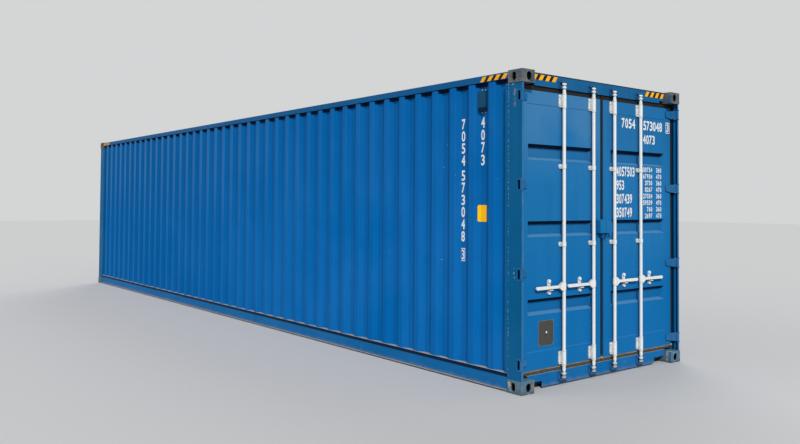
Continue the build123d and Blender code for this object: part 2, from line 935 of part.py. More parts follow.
def lock_bar(y):
    """A lock rod with a cam at each end, collars and the lugs of its handle."""
    pivot_end = y + handle_pivot + lug_overhang
    lug_profile = (
        (y, hub_z - hub_height / 2),
        (y + hub_flat, hub_z - hub_height / 2),
        (pivot_end, hub_z - lug_end / 2),
        (pivot_end, hub_z + lug_end / 2),
        (y + hub_flat, hub_z + hub_height / 2),
        (y, hub_z + hub_height / 2),
    )
    cheek_near = handle_plate / 2 + cheek_fit
    cheek_far = cheek_near + lug_cheek
    with BuildPart() as bar:
        with BuildSketch(Plane.XY.offset(rod_low + cam_height)):
            with Locations((rod_x, y)):
                Circle(rod_radius)
        extrude(amount=rod_high - rod_low - 2 * cam_height)
        with BuildSketch(Plane.XY.offset(rod_low), Plane.XY.offset(rod_high - cam_height)):
            with Locations((rod_x, y)):
                Circle(cam_waist_radius)
        extrude(amount=cam_height)
        nose_heights = (
            rod_low,
            rod_low + cam_height - 2 * cam_nose,
            rod_high - cam_height + cam_nose,
            rod_high - cam_nose,
        )
        with BuildSketch(*[Plane.XY.offset(z) for z in nose_heights]):
            with Locations((rod_x, y)):
                SlotOverall(cam_width, cam_plate, rotation=90)
        extrude(amount=cam_nose)
        for z in bracket_heights:
            for end in (-1, 1):
                z_collar = z + end * (bracket_height / 2 + collar_gap + collar_height / 2)
                with Locations((rod_x, y, z_collar)):
                    Cylinder(collar_radius, collar_height)
        with Locations((rod_x, y, hub_z)):
            Cylinder(hub_radius, hub_core_height)
        add(cross_prism(lug_profile, rod_x + cheek_near, rod_x + cheek_far))
        add(cross_prism(lug_profile, rod_x - cheek_far, rod_x - cheek_near))
        with BuildSketch(Plane.YZ.offset(rod_x - cheek_far)):
            with Locations((y + handle_pivot, hub_z)):
                Circle(handle_pin)
        extrude(amount=2 * cheek_far)
    return bar.part


def handle(y):
    """A flat handle on its pin, with a slim neck and a wider rounded grip."""
    pivot_y = y + handle_pivot
    tip_y = y + handle_length
    grip_y = tip_y - grip_length
    half_neck = handle_neck / 2
    half_grip = grip_height / 2
    with BuildPart() as bar:
        with BuildSketch(Plane.YZ.offset(rod_x - handle_plate / 2)):
            with BuildLine():
                Polyline(
                    (pivot_y, hub_z + half_neck),
                    (grip_y - handle_taper, hub_z + half_neck),
                    (grip_y, hub_z + half_grip),
                    (tip_y - half_grip, hub_z + half_grip),
                    (tip_y - half_grip, hub_z - half_grip),
                    (grip_y, hub_z - half_grip),
                    (grip_y - handle_taper, hub_z - half_neck),
                    (pivot_y, hub_z - half_neck),
                    close=True,
                )
            make_face()
            with Locations((tip_y - half_grip, hub_z)):
                Circle(half_grip)
            with Locations((pivot_y, hub_z)):
                Circle(handle_eye)
                Circle(handle_pin + pin_fit, mode=Mode.SUBTRACT)
        extrude(amount=handle_plate)
    return bar.part


# Lock box: a part on each door, open at the bottom and along the gap, over a hasp
box_bottom = at_share(box_share) - box_height / 2
box_top = box_bottom + box_height


def lock_box():
    """The cover on one door and the hasp plate under it."""
    front_x = door_face_x + box_depth
    outside = (
        (door_face_x, box_bottom),
        (front_x, box_bottom),
        (front_x, box_top - box_slant),
        (door_face_x, box_top),
    )
    inside = (
        (door_face_x, box_bottom),
        (front_x - box_plate, box_bottom),
        (front_x - box_plate, box_top - box_slant - box_plate),
        (door_face_x, box_top - box_plate),
    )
    hasp = block(
        (door_face_x, door_face_x + hasp_depth),
        (frame_inner_edge, frame_inner_edge + hasp_plate),
        (box_bottom - hasp_below, box_bottom + hasp_below),
    )
    with BuildPart() as cover:
        add(side_prism(outside, box_gap, box_reach))
        add(side_prism(inside, box_gap, box_reach - box_plate), mode=Mode.SUBTRACT)
        add(hasp)
        with BuildSketch(Plane.XZ.offset(-frame_inner_edge)):
            with Locations((door_face_x + hasp_depth / 2, box_bottom - hasp_below / 2)):
                Circle(hasp_hole)
        extrude(amount=-hasp_plate, mode=Mode.SUBTRACT)
    return cover.part


def as_made(part):
    return part


for side, place in (("right", as_made), ("left", left_of)):
    save(place(door_frame.part), f"{side}_door_frame")
    save(place(door_panel.part), f"{side}_door_panel")
    save(place(door_gasket.part), f"{side}_door_gasket")
    save(place(door_hinges.part), f"{side}_door_hinges")
    save(place(rod_brackets), f"{side}_rod_brackets")
    save(place(handle_catches.part), f"{side}_handle_catches")
    save(place(lock_box()), f"{side}_lock_box")
    for rod, y in rod_ys.items():
        save(place(lock_bar(y)), f"{side}_{rod}_lock_bar")
        save(place(handle(y)), f"{side}_{rod}_handle")

# Data plate on the left door, between the bottom of the panel and the lowest tray
plate_y = (-frame_outer_edge + plate_from_edge, -frame_outer_edge + plate_from_edge + plate_width)
plate_z = (panel_low + plate_margin, tray_heights[0] - tray_mouth / 2 - plate_below_tray)
save(block((door_face_x, door_face_x + plate_thick), plate_y, plate_z), "data_plate")
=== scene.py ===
import json
import math
import random

import bmesh
import bpy
from mathutils import Matrix, Vector


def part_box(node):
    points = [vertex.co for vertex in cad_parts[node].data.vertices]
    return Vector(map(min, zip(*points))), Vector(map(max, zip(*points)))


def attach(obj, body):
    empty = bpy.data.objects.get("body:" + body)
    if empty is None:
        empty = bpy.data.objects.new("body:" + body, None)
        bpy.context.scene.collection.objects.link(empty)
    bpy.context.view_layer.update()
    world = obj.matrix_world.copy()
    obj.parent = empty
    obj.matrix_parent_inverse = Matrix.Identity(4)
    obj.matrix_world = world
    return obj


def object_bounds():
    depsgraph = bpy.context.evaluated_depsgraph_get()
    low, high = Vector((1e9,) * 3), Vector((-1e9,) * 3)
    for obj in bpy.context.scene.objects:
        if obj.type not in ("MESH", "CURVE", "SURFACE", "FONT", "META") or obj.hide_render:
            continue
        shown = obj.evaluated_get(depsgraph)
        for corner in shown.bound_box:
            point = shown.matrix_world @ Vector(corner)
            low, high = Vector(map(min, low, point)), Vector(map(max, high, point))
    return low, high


# Looks of the shipping container, in metres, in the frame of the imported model:
# X runs along the length with the doors at +X, the left side is -Y, +Z is up.

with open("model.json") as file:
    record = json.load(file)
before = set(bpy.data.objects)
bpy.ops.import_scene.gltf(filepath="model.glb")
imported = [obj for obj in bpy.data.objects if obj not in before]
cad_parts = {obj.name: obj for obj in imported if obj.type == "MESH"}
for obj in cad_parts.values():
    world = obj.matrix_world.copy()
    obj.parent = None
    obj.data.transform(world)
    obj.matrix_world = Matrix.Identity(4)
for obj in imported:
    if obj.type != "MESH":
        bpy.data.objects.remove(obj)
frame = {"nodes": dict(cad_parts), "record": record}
cad_low, cad_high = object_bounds()
nodes = frame["nodes"]
rng = random.Random(7)

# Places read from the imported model
DOOR_LOW, DOOR_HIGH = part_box("left_door_frame")
DOOR_FACE = DOOR_HIGH.x
DOOR_FOOT = DOOR_LOW.z
DOOR_TALL = DOOR_HIGH.z - DOOR_FOOT
PANEL_LOW, PANEL_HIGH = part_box("right_door_panel")
PLATE_LOW, PLATE_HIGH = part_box("data_plate")
VENT_LOW, VENT_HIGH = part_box("ventilators")
RAIL_LOW, RAIL_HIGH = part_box("right_bottom_side_rail")
FITTING_LOW, FITTING_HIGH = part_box("rear_bottom_corner_fittings")
WALL_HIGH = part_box("right_side_wall")[1]
HEADER_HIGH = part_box("door_header")[1]
TOP_RAIL_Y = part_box("top_side_rails")[1].y
SHEET = 0.002
WALL_RECESS = abs(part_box("left_side_wall")[1].y - SHEET)

# Sizes of the part that its boxes don't give: side sheet, pressed trays, lock gear, fittings
CREST_PITCH = 0.2775
LONG_RECESS_X = CREST_PITCH * 19
SHORT_RECESS_X = CREST_PITCH * 20
TRAYS = [DOOR_FOOT + share * DOOR_TALL for share in (0.2229, 0.5016, 0.7786)]
GUIDES = [DOOR_FOOT + share * DOOR_TALL for share in (0.4443, 0.7306)]
BRACKETS = (DOOR_FOOT + 0.072, DOOR_HIGH.z - 0.068)
GEAR_PLATE = 0.009
RODS = (0.5975, 0.163934)
FITTING_SKIN = 0.008
FITTING_REACH = 0.154

SIDES = (("left", -1), ("right", 1))
DECAL_LIFT = 0.0006


def srgb(red, green, blue):
    """Linear colour of an 8-bit screen colour."""
    parts = []
    for value in (red, green, blue):
        share = value / 255
        low = share / 12.92
        parts.append(low if share <= 0.04045 else ((share + 0.055) / 1.055) ** 2.4)
    return (*parts, 1.0)


def tint(colour, factor, lift=0.0):
    """A colour made darker or paler."""
    return (*(min(1.0, c * factor + lift) for c in colour[:3]), 1.0)


# Materials

RUST = srgb(112, 62, 30)
DARK_RUST = srgb(58, 36, 24)
TAN = (0.36, 0.285, 0.19, 1)
DUST = (0.46, 0.42, 0.35, 1)
ROOF_DUST = (0.22, 0.27, 0.33, 1)
ROAD_FILM = (0.05, 0.05, 0.048, 1)
CHIP = (0.56, 0.60, 0.62, 1)
INNER_COAT = (0.46, 0.48, 0.47, 1)
INNER_SCUFF = (0.30, 0.30, 0.29, 1)
SHADE = (0.0, 0.003, 0.012, 1)
TRAY_SHADE = (0.0, 0.002, 0.018, 1)
HOLLOW_SHADE = (0.003, 0.004, 0.006, 1)

WALL_BLUE = (0.0, 0.126, 0.404, 1)
CREST_SHEEN = (0.10, 0.21, 0.34, 1)
DOOR_BLUE = (0.010, 0.158, 0.400, 1)
DOOR_LOW_BLUE = (0.0, 0.138, 0.405, 1)
LEFT_DOOR_WORN = (0.062, 0.21, 0.42, 1)
RIGHT_DOOR_WORN = (0.016, 0.142, 0.345, 1)
SEAM_PALE = (0.07, 0.23, 0.47, 1)
TRAY_HIGHLIGHT = (0.11, 0.27, 0.44, 1)
POST_BLUE = (0.0, 0.106, 0.27, 1)
POST_INNER_HIGHLIGHT = (0.01, 0.17, 0.44, 1)
POST_LIP_BLUE = (0.05, 0.2, 0.4, 1)
FRAME_BLUE = (0.004, 0.130, 0.36, 1)
HEADER_BLUE = (0.008, 0.112, 0.275, 1)
TOP_RAIL_BLUE = (0.002, 0.098, 0.27, 1)
HINGE_BLUE = (0.012, 0.125, 0.32, 1)
HINGE_FADED = (0.04, 0.17, 0.37, 1)
UNDER_BLUE = (0.004, 0.07, 0.19, 1)
UNDER_FADED = (0.01, 0.09, 0.22, 1)


class Graph:
    """Short calls for the nodes of one material."""

    def __init__(self, name, specular):
        self.material = bpy.data.materials.new(name)
        self.material.use_nodes = True
        self.tree = self.material.node_tree
        self.tree.nodes.clear()
        self.shader = self.add("ShaderNodeBsdfPrincipled")
        self.shader.inputs["Specular IOR Level"].default_value = specular
        output = self.add("ShaderNodeOutputMaterial")
        self.tree.links.new(self.shader.outputs[0], output.inputs[0])
        coordinates = self.add("ShaderNodeTexCoord")
        self.place = coordinates.outputs["Object"]
        self.x, self.y, self.z = self.split(self.place)
        self.nx, self.ny, self.nz = self.split(coordinates.outputs["Normal"])

    def add(self, kind, **settings):
        node = self.tree.nodes.new(kind)
        for key, value in settings.items():
            setattr(node, key, value)
        return node

    def split(self, vector):
        node = self.add("ShaderNodeSeparateXYZ")
        self.tree.links.new(vector, node.inputs[0])
        return node.outputs

    def put(self, socket, value):
        if isinstance(value, bpy.types.NodeSocket):
            self.tree.links.new(value, socket)
        else:
            socket.default_value = value

    def math(self, operation, *values, clamp=False):
        node = self.add("ShaderNodeMath", operation=operation, use_clamp=clamp)
        for socket, value in zip(node.inputs, values):
            self.put(socket, value)
        return node.outputs[0]

    def absolute(self, value):
        return self.math("ABSOLUTE", value)

    def plus(self, value, other, share):
        """A value with a share of another one added."""
        return self.math("ADD", value, self.math("MULTIPLY", other, share))

    def outward(self):
        """1 on faces that look away from the middle of the width, -1 on faces that look to it."""
        return self.math("MULTIPLY", self.ny, self.math("SIGN", self.y))

    def mix(self, amount, first, second):
        node = self.add("ShaderNodeMix", data_type="RGBA")
        self.put(node.inputs[0], amount)
        self.put(node.inputs[6], first)
        self.put(node.inputs[7], second)
        return node.outputs[2]

    def layer(self, paint, mask, amount, colour):
        """Lays a colour over the paint where the mask is 1."""
        return self.mix(self.math("MULTIPLY", mask, amount), paint, colour)

    def all_of(self, *masks):
        product = masks[0]
        for mask in masks[1:]:
            product = self.math("MULTIPLY", product, mask)
        return product

    def any_of(self, *masks):
        most = masks[0]
        for mask in masks[1:]:
            most = self.math("MAXIMUM", most, mask)
        return most

    def noise(self, scale, detail=3.0, stretch=(1, 1, 1), shift=0.0):
        mapping = self.add("ShaderNodeMapping")
        self.put(mapping.inputs["Vector"], self.place)
        mapping.inputs["Scale"].default_value = stretch
        mapping.inputs["Location"].default_value = (shift, shift * 0.7, shift * 1.3)
        node = self.add("ShaderNodeTexNoise")
        self.put(node.inputs["Vector"], mapping.outputs[0])
        node.inputs["Scale"].default_value = scale
        node.inputs["Detail"].default_value = detail
        node.inputs["Roughness"].default_value = 0.55
        return node.outputs["Fac"]

    def step(self, value, low, high):
        """Smooth 0 to 1 as the value goes from low to high."""
        node = self.add("ShaderNodeMapRange", interpolation_type="SMOOTHSTEP")
        self.put(node.inputs["Value"], value)
        node.inputs["From Min"].default_value = low
        node.inputs["From Max"].default_value = high
        return node.outputs[0]

    def spots(self, low, high, scale, detail=3.0, stretch=(1, 1, 1), shift=0.0):
        """Smooth 0 to 1 as a noise goes from low to high."""
        return self.step(self.noise(scale, detail, stretch, shift), low, high)

    def band(self, value, low, high, soft=0.001):
        """1 between two values, with soft ends."""
        rise = self.step(value, low - soft, low + soft)
        fall = self.step(value, high + soft, high - soft)
        return self.math("MULTIPLY", rise, fall)

    def edges(self, width, low=0.03, high=0.25):
        """1 along edges, 0 on flats."""
        bevel = self.add("ShaderNodeBevel", samples=6)
        bevel.inputs["Radius"].default_value = width
        flat = self.add("ShaderNodeNewGeometry").outputs["Normal"]
        dot = self.add("ShaderNodeVectorMath", operation="DOT_PRODUCT")
        self.put(dot.inputs[0], bevel.outputs[0])
        self.put(dot.inputs[1], flat)
        return self.step(self.math("SUBTRACT", 1.0, dot.outputs["Value"]), low, high)

    def crevice(self, distance):
        """1 deep in corners, 0 in the open."""
        node = self.add("ShaderNodeAmbientOcclusion", samples=6)
        node.inputs["Distance"].default_value = distance
        return self.math("SUBTRACT", 1.0, node.outputs["AO"], clamp=True)

    def finish(self, colour, roughness, bump=None, strength=0.1, distance=0.002):
        self.put(self.shader.inputs["Base Color"], colour)
        self.put(self.shader.inputs["Roughness"], roughness)
        if bump is not None:
            node = self.add("ShaderNodeBump")
            node.inputs["Strength"].default_value = strength
            node.inputs["Distance"].default_value = distance
            self.put(node.inputs["Height"], bump)
            self.put(self.shader.inputs["Normal"], node.outputs[0])
        return self.material


def inner_mask(g, inside):
    """1 on the faces of a sheet that look into the cargo space."""
    if inside == "side":
        return g.step(g.outward(), 0.02, -0.08)
    if inside == "roof":
        return g.step(g.nz, 0.02, -0.08)
    if inside == "front":
        return g.step(g.nx, -0.02, 0.08)
    return g.step(g.nx, -0.3, -0.5)


def painted(
    name, colour, faded=None, wear=0.3, rust=0.1, grime_and_shade=0.5, specular=0.06, inside=None, marks=None
):
    """Painted steel: uneven tone, broad rain runs, worn and chipped edges, soiling and painted
    shade in corners.
    """
    g = Graph(name, specular)
    faded = faded or tint(colour, 1.08, 0.006)
    deep = tint(colour, 0.7)
    pale = tint(faded, 1.1, 0.01)
    fine = g.noise(70, 3, shift=9)
    paint = g.mix(g.spots(0.32, 0.68, 0.9, 4), colour, faded)
    paint = g.layer(paint, g.spots(0.5, 0.8, 5, 4, shift=3), 0.22, deep)
    run = g.noise(2.4, 3, stretch=(4, 4, 0.25), shift=5)
    paint = g.layer(paint, g.step(run, 0.5, 0.76), 0.25, deep)
    paint = g.layer(paint, g.step(run, 0.44, 0.22), 0.2, pale)
    if marks:
        paint = marks(g, paint, deep)
    edge = g.edges(0.006)
    worn = g.all_of(edge, g.spots(0.42, 0.62, 26, 4, shift=6))
    paint = g.layer(paint, worn, wear, tint(pale, 1.25, 0.05))
    corroded = g.all_of(edge, g.spots(0.55, 0.68, 15, 5, shift=16))
    paint = g.layer(paint, corroded, rust, g.mix(g.noise(60, 3), TAN, RUST))
    # Soiling and painted shade: corners darker in a deep tone of the paint, broken by noise
    dirt_and_shade = g.all_of(g.crevice(0.05), g.step(fine, 0.2, 0.6))
    paint = g.layer(paint, dirt_and_shade, grime_and_shade, tint(deep, 0.6))
    if inside:
        scuff = g.spots(0.5, 0.7, 3.2, 5, stretch=(1, 1, 0.5), shift=27)
        scrape = g.spots(0.62, 0.7, 3, 3, stretch=(2, 2, 30), shift=31)
        coat = g.layer(INNER_COAT, scuff, 0.5, INNER_SCUFF)
        coat = g.layer(coat, g.all_of(scrape, g.step(g.z, 1.9, 0.9)), 0.6, INNER_SCUFF)
        coat = g.layer(coat, dirt_and_shade, 0.6, DARK_RUST)
        paint = g.mix(inner_mask(g, inside), paint, coat)
    rough = g.plus(0.44, g.noise(14, 3, shift=30), 0.2)
    bump = g.plus(g.noise(2.4, 2, shift=33), fine, 0.1)
    return g.finish(paint, rough, bump, 0.2, 0.005)


# Marks of single nodes: each function lays them over the paint; deep is its darker tone


def wall_marks(g, paint, deep):
    """A few white chips on the sheet."""
    patch = g.spots(0.5, 0.62, 0.8, 3, shift=41)
    chips = g.spots(0.74, 0.765, 42, 3, shift=2)
    return g.layer(paint, g.all_of(chips, patch), 0.8, CHIP)


def side_marks(g, paint, deep):
    """Chips; painted shade on the folds high up and far off, pale crests there as a painted
    reflection, a painted black shadow under the top rail.
    """
    paint = wall_marks(g, paint, deep)
    depth = g.math("SUBTRACT", WALL_HIGH.y, g.absolute(g.y))
    sunk = g.step(depth, 0.002, 0.008)
    crest = g.math("SUBTRACT", 1.0, sunk)
    far = g.step(g.x, 5.0, -4.5)
    high = g.step(g.z, 1.0, 2.5)
    # Painted shade: recesses and folds darker far off and high up
    paint = g.layer(paint, g.all_of(sunk, far), 0.8, tint(WALL_BLUE, 0.68))
    paint = g.layer(paint, g.all_of(sunk, high), 0.4, tint(WALL_BLUE, 0.7))
    # Painted reflection: pale crests high up and far off
    paint = g.layer(paint, g.all_of(crest, high, far), 0.3, CREST_SHEEN)
    # Painted shadow: near-black under the top rail in each recess, and a thin line along its whole
    # foot
    top = WALL_HIGH.z
    gap = g.all_of(g.step(g.z, top - 0.046, top - 0.036), g.step(depth, 0.004, 0.012))
    gap = g.any_of(gap, g.step(g.z, top - 0.011, top - 0.005))
    return g.layer(paint, gap, 0.92, SHADE)


def roof_marks(g, paint, deep):
    """Dust that settled on the roof, with a few rusty specks."""
    dusty = g.all_of(g.step(g.nz, 0.5, 0.9), g.spots(0.38, 0.7, 1.6, 5, shift=12))
    paint = g.layer(paint, dusty, 0.4, ROOF_DUST)
    return g.layer(paint, g.spots(0.72, 0.76, 36, 4, shift=8), 0.7, RUST)


def ledge_marks(g, paint, deep):
    """Dust on the faces that look up, soil on the lower web of the rails and sills."""
    up = g.all_of(g.step(g.nz, 0.4, 0.8), g.step(g.z, 0.3, 0.25))
    paint = g.layer(paint, g.all_of(up, g.spots(0.2, 0.55, 11, 4, shift=7)), 0.85, DUST)
    soil = g.step(g.plus(g.z, g.noise(14, 4, shift=13), 0.06), 0.085, 0.035)
    paint = g.layer(paint, soil, 0.25, TAN)
    patch = g.spots(0.5, 0.62, 1.1, 3, shift=17)
    chips = g.spots(0.72, 0.75, 46, 3, shift=4)
    return g.layer(paint, g.all_of(chips, patch), 0.8, CHIP)


def rail_marks(g, paint, deep):
    """Bottom side rail: dusty ledge with a worn edge, a painted black shadow right under it, a pale
    toe of dust and painted highlight.
    """
    top, edge = RAIL_HIGH.z, RAIL_HIGH.y
    paint = ledge_marks(g, paint, deep)
    # Painted shadow of the ledge on the web right under it
    under = g.all_of(
        g.band(g.z, top - 0.040, top - 0.0065, 0.004),
        g.step(g.absolute(g.y), edge - 0.006, edge - 0.010),
    )
    paint = g.layer(paint, under, 0.9, SHADE)
    broken = g.spots(0.25, 0.5, 12, 4, shift=18)
    ledge = g.all_of(g.step(g.z, top - 0.008, top - 0.006), broken)
    paint = g.layer(paint, ledge, 0.75, DUST)
    # Pale toe: dust and a painted highlight along the foot
    toe = g.all_of(g.step(g.z, RAIL_LOW.z + 0.012, RAIL_LOW.z + 0.006), broken)
    return g.layer(paint, toe, 0.6, DUST)


def header_marks(g, paint, deep):
    """Near-black line along the upper edge of the header."""
    line = g.step(g.z, HEADER_HIGH.z - 0.006, HEADER_HIGH.z - 0.002)
    return g.layer(paint, line, 0.92, SHADE)


def seam_masks(g):
    """Fine lines where a door's panel meets its frame: at its top, foot and uprights."""
    across = g.absolute(g.y)
    low_y, high_y = PANEL_LOW.y, PANEL_HIGH.y
    low_z, high_z = PANEL_LOW.z, PANEL_HIGH.z
    wide = g.band(across, low_y, high_y)
    top = g.band(g.z, high_z - 0.0025, high_z + 0.0025)
    foot = g.band(g.z, low_z - 0.003, low_z + 0.003)
    inner = g.band(across, low_y - 0.001, low_y + 0.001)
    outer = g.band(across, high_y - 0.001, high_y + 0.001)
    upright = g.all_of(g.any_of(inner, outer), g.band(g.z, low_z, high_z))
    return g.all_of(top, wide), g.all_of(foot, wide), upright


def door_marks(g, paint, deep):
    """Seams of the panel, a fuller blue low down, a worn tone high up, paler on the left door."""
    paint = g.layer(paint, g.step(g.z, 1.6, 0.7), 0.6, DOOR_LOW_BLUE)
    high = g.all_of(g.step(g.z, 1.8, 2.5), g.spots(0.2, 0.5, 1.2, 3, shift=19))
    worn_tone = g.mix(g.step(g.y, -0.1, 0.1), LEFT_DOOR_WORN, RIGHT_DOOR_WORN)
    paint = g.layer(paint, high, 0.7, worn_tone)
    top, foot, upright = seam_masks(g)
    paint = g.layer(paint, top, 0.75, tint(deep, 0.3))
    paint = g.layer(paint, foot, 0.5, SEAM_PALE)
    return g.layer(paint, upright, 0.4, tint(deep, 0.5))


def tray_marks(g, paint, deep):
    """Pressed trays: darker in the recess, a painted black shadow under the upper fold and atop the
    floor, a painted highlight on the lower fold.
    """
    paint = door_marks(g, paint, deep)
    sunk = g.step(g.math("SUBTRACT", DOOR_FACE, g.x), 0.008, 0.03)
    paint = g.layer(paint, sunk, 0.35, deep)
    # Painted shadow: black on faces that look down and on the top of each tray's floor
    shaded = g.step(g.nz, -0.1, -0.35)
    for tray_z in TRAYS:
        floor_shade = g.band(g.z, tray_z + 0.040, tray_z + 0.060, 0.003)
        shaded = g.any_of(shaded, g.all_of(sunk, floor_shade))
    paint = g.layer(paint, shaded, 0.96, TRAY_SHADE)
    # Painted highlight on the faces that look up
    return g.layer(paint, g.step(g.nz, 0.1, 0.35), 0.55, TRAY_HIGHLIGHT)


# Bands on the posts, by the distance from the middle of the length or by the height
CHIP_LINE_X = (5.919, 5.9225)
WELD_X = (5.8685, 5.8725)
HEAD_Z = (2.62, 2.74)
SCRAPE_X = (5.985, 6.012)
SCRAPE_Z = (2.56, 2.72)
HINGE_X = (5.988, 6.014)
HINGE_Z = (1.005, 1.11)
INNER_SHADE_X = (6.000, 6.028)
INNER_HIGHLIGHT_X = (6.036, 6.052)
LIP_SHADE_X = (6.062, 6.080)
LIP_X = (6.082, 6.088)


def post_marks(g, paint, deep):
    """A line of chips down the outer face, scrapes under the fitting, rubbed lip and notches;
    painted shade and a painted highlight on the inner face by the door.
    """
    along = g.absolute(g.x)
    outer = g.step(g.absolute(g.ny), 0.6, 0.9)
    dots = g.spots(0.53, 0.6, 34, 4, stretch=(0.6, 0.6, 1.6), shift=2)
    wander = g.math("SUBTRACT", g.noise(9, 2, shift=5), 0.5)
    line = g.band(g.plus(along, wander, 0.012), *CHIP_LINE_X, 0.0012)
    paint = g.layer(paint, g.all_of(line, dots, outer), 0.85, CHIP)
    weld = g.all_of(g.band(along, *WELD_X), g.spots(0.42, 0.56, 18, 4, shift=23))
    paint = g.layer(paint, weld, 0.7, CHIP)
    head = g.all_of(g.step(g.z, *HEAD_Z), outer, g.spots(0.6, 0.66, 38, 5, shift=11))
    paint = g.layer(paint, head, 0.5, CHIP)
    scrape = g.all_of(g.band(along, *SCRAPE_X, 0.006), g.band(g.z, *SCRAPE_Z, 0.02), outer)
    paint = g.layer(paint, g.all_of(scrape, g.spots(0.35, 0.6, 24, 4, shift=3)), 0.45, TAN)
    hinge_side = g.all_of(g.band(along, *HINGE_X, 0.004), g.band(g.z, *HINGE_Z, 0.01), outer)
    paint = g.layer(paint, g.all_of(hinge_side, g.spots(0.56, 0.6, 40, 3, shift=15)), 0.95, CHIP)
    level = g.step(g.absolute(g.nz), 0.5, 0.8)
    paint = g.layer(paint, level, 0.75, TAN)
    inward = g.step(g.outward(), -0.5, -0.8)
    # Painted shade on the inner face next to the door, a painted highlight beside it, a painted
    # dark line before the lip
    inner_shade = g.all_of(inward, g.band(along, *INNER_SHADE_X, 0.005))
    paint = g.layer(paint, inner_shade, 0.85, SHADE)
    inner_highlight = g.all_of(inward, g.band(along, *INNER_HIGHLIGHT_X, 0.003))
    paint = g.layer(paint, inner_highlight, 0.8, POST_INNER_HIGHLIGHT)
    lip_shade = g.all_of(inward, g.band(along, *LIP_SHADE_X, 0.003))
    paint = g.layer(paint, lip_shade, 0.9, SHADE)
    lip = g.all_of(g.step(along, *LIP_X), g.step(g.absolute(g.nx), 0.5, 0.8))
    paint = g.layer(paint, lip, 0.6, POST_LIP_BLUE)
    rubbed = g.spots(0.56, 0.68, 7, 5, stretch=(6, 6, 1), shift=29)
    return g.layer(paint, g.all_of(lip, rubbed), 0.3, TAN)


def under_marks(g, paint, deep):
    """Road film and rust on the underside."""
    paint = g.layer(paint, g.spots(0.4, 0.66, 4, 5, shift=6), 0.6, ROAD_FILM)
    return g.layer(paint, g.spots(0.58, 0.7, 9, 5, shift=14), 0.6, RUST)


def fitting_hollow(g):
    """1 inside the hollow of a corner fitting, where black is painted as shade."""
    soft = 0.002
    outer = FITTING_HIGH - Vector((FITTING_SKIN, FITTING_SKIN, FITTING_SKIN))
    middle = (cad_low.z + cad_high.z) / 2
    level = g.absolute(g.math("SUBTRACT", g.z, middle))
    return g.all_of(
        g.band(g.absolute(g.x), FITTING_LOW.x + FITTING_SKIN, outer.x, soft),
        g.band(g.absolute(g.y), FITTING_HIGH.y - FITTING_REACH, outer.y, soft),
        g.band(level, middle - outer.z, middle - FITTING_SKIN, soft),
    )


def fitting_paint(name):
    """Cast corner fittings: grey-blue paint over rough steel, tan on the worn edges, painted shade
    in corners and hollows.
    """
    g = Graph(name, 0.15)
    blotch = g.noise(9, 5)
    high = g.step(g.z, 0.5, 2.4)
    right = g.step(g.y, -0.5, 0.5)
    upper = g.mix(right, (0.03, 0.085, 0.13, 1), (0.03, 0.10, 0.17, 1))
    lower = g.mix(right, (0.058, 0.172, 0.26, 1), (0.045, 0.18, 0.32, 1))
    first = g.mix(high, lower, upper)
    second = g.mix(high, (0.10, 0.185, 0.245, 1), (0.15, 0.145, 0.135, 1))
    paint = g.mix(g.step(blotch, 0.38, 0.62), first, second)
    scuff = g.spots(0.56, 0.66, 24, 5, stretch=(1, 1, 0.4), shift=4)
    paint = g.layer(paint, scuff, 0.5, (0.2, 0.215, 0.21, 1))
    scraped = g.spots(0.6, 0.64, 13, 5, stretch=(1, 1, 0.6), shift=23)
    scraped = g.all_of(scraped, g.step(g.z, 1.0, 0.5))
    paint = g.layer(paint, scraped, 0.75, (0.48, 0.46, 0.42, 1))
    bare = g.all_of(g.edges(0.012, 0.02, 0.3), g.spots(0.36, 0.54, 17, 4, shift=8))
    rusty_rim = g.mix(g.noise(30, 4, shift=35), DARK_RUST, TAN)
    paint = g.layer(paint, bare, 0.85, g.mix(high, (0.4, 0.33, 0.235, 1), rusty_rim))
    speck = g.all_of(g.spots(0.66, 0.7, 52, 3, shift=37), high)
    paint = g.layer(paint, speck, 0.7, (0.4, 0.36, 0.28, 1))
    paint = g.layer(paint, g.spots(0.6, 0.67, 15, 6, shift=14), 0.65, RUST)
    paint = g.layer(paint, g.spots(0.64, 0.72, 32, 4, shift=19), 0.5, DARK_RUST)
    # Painted shade: near-black in corners and inside the hollows
    paint = g.layer(paint, g.crevice(0.06), 0.85, (0.008, 0.008, 0.008, 1))
    paint = g.layer(paint, fitting_hollow(g), 0.95, HOLLOW_SHADE)
    bump = g.plus(blotch, g.noise(120, 3, shift=2), 0.5)
    return g.finish(paint, g.plus(0.55, blotch, 0.25), bump, 0.35, 0.004)


def white_paint(name):
    """White locking gear with soiling and painted shade in the joints, a few rusty marks, darker
    grey near the bottom.
    """
    g = Graph(name, 0.25)
    paint = g.mix(g.noise(5, 3), (0.74, 0.77, 0.77, 1), (0.80, 0.82, 0.80, 1))
    streak = g.spots(0.56, 0.74, 8, 4, stretch=(14, 14, 0.5), shift=5)
    paint = g.layer(paint, streak, 0.3, (0.52, 0.53, 0.5, 1))
    # Soiling and painted shade in the joints
    dirt_and_shade = g.all_of(g.crevice(0.03), g.spots(0.2, 0.6, 34, 4, shift=7))
    paint = g.layer(paint, dirt_and_shade, 0.8, (0.10, 0.10, 0.095, 1))
    edge = g.all_of(g.edges(0.005), g.spots(0.53, 0.62, 38, 4, shift=11))
    paint = g.layer(paint, edge, 0.7, (0.16, 0.10, 0.06, 1))
    paint = g.layer(paint, g.spots(0.68, 0.74, 48, 5, shift=17), 0.5, (0.26, 0.12, 0.05, 1))
    # Darker grey near the bottom
    darker_low = g.plus(g.z, g.noise(18, 4, shift=25), 0.04)
    paint = g.layer(paint, g.step(darker_low, 0.135, 0.115), 0.6, (0.16, 0.17, 0.17, 1))
    rough = g.plus(0.4, g.noise(30, 2, shift=3), 0.2)
    return g.finish(paint, rough, g.noise(90, 3), 0.12, 0.002)


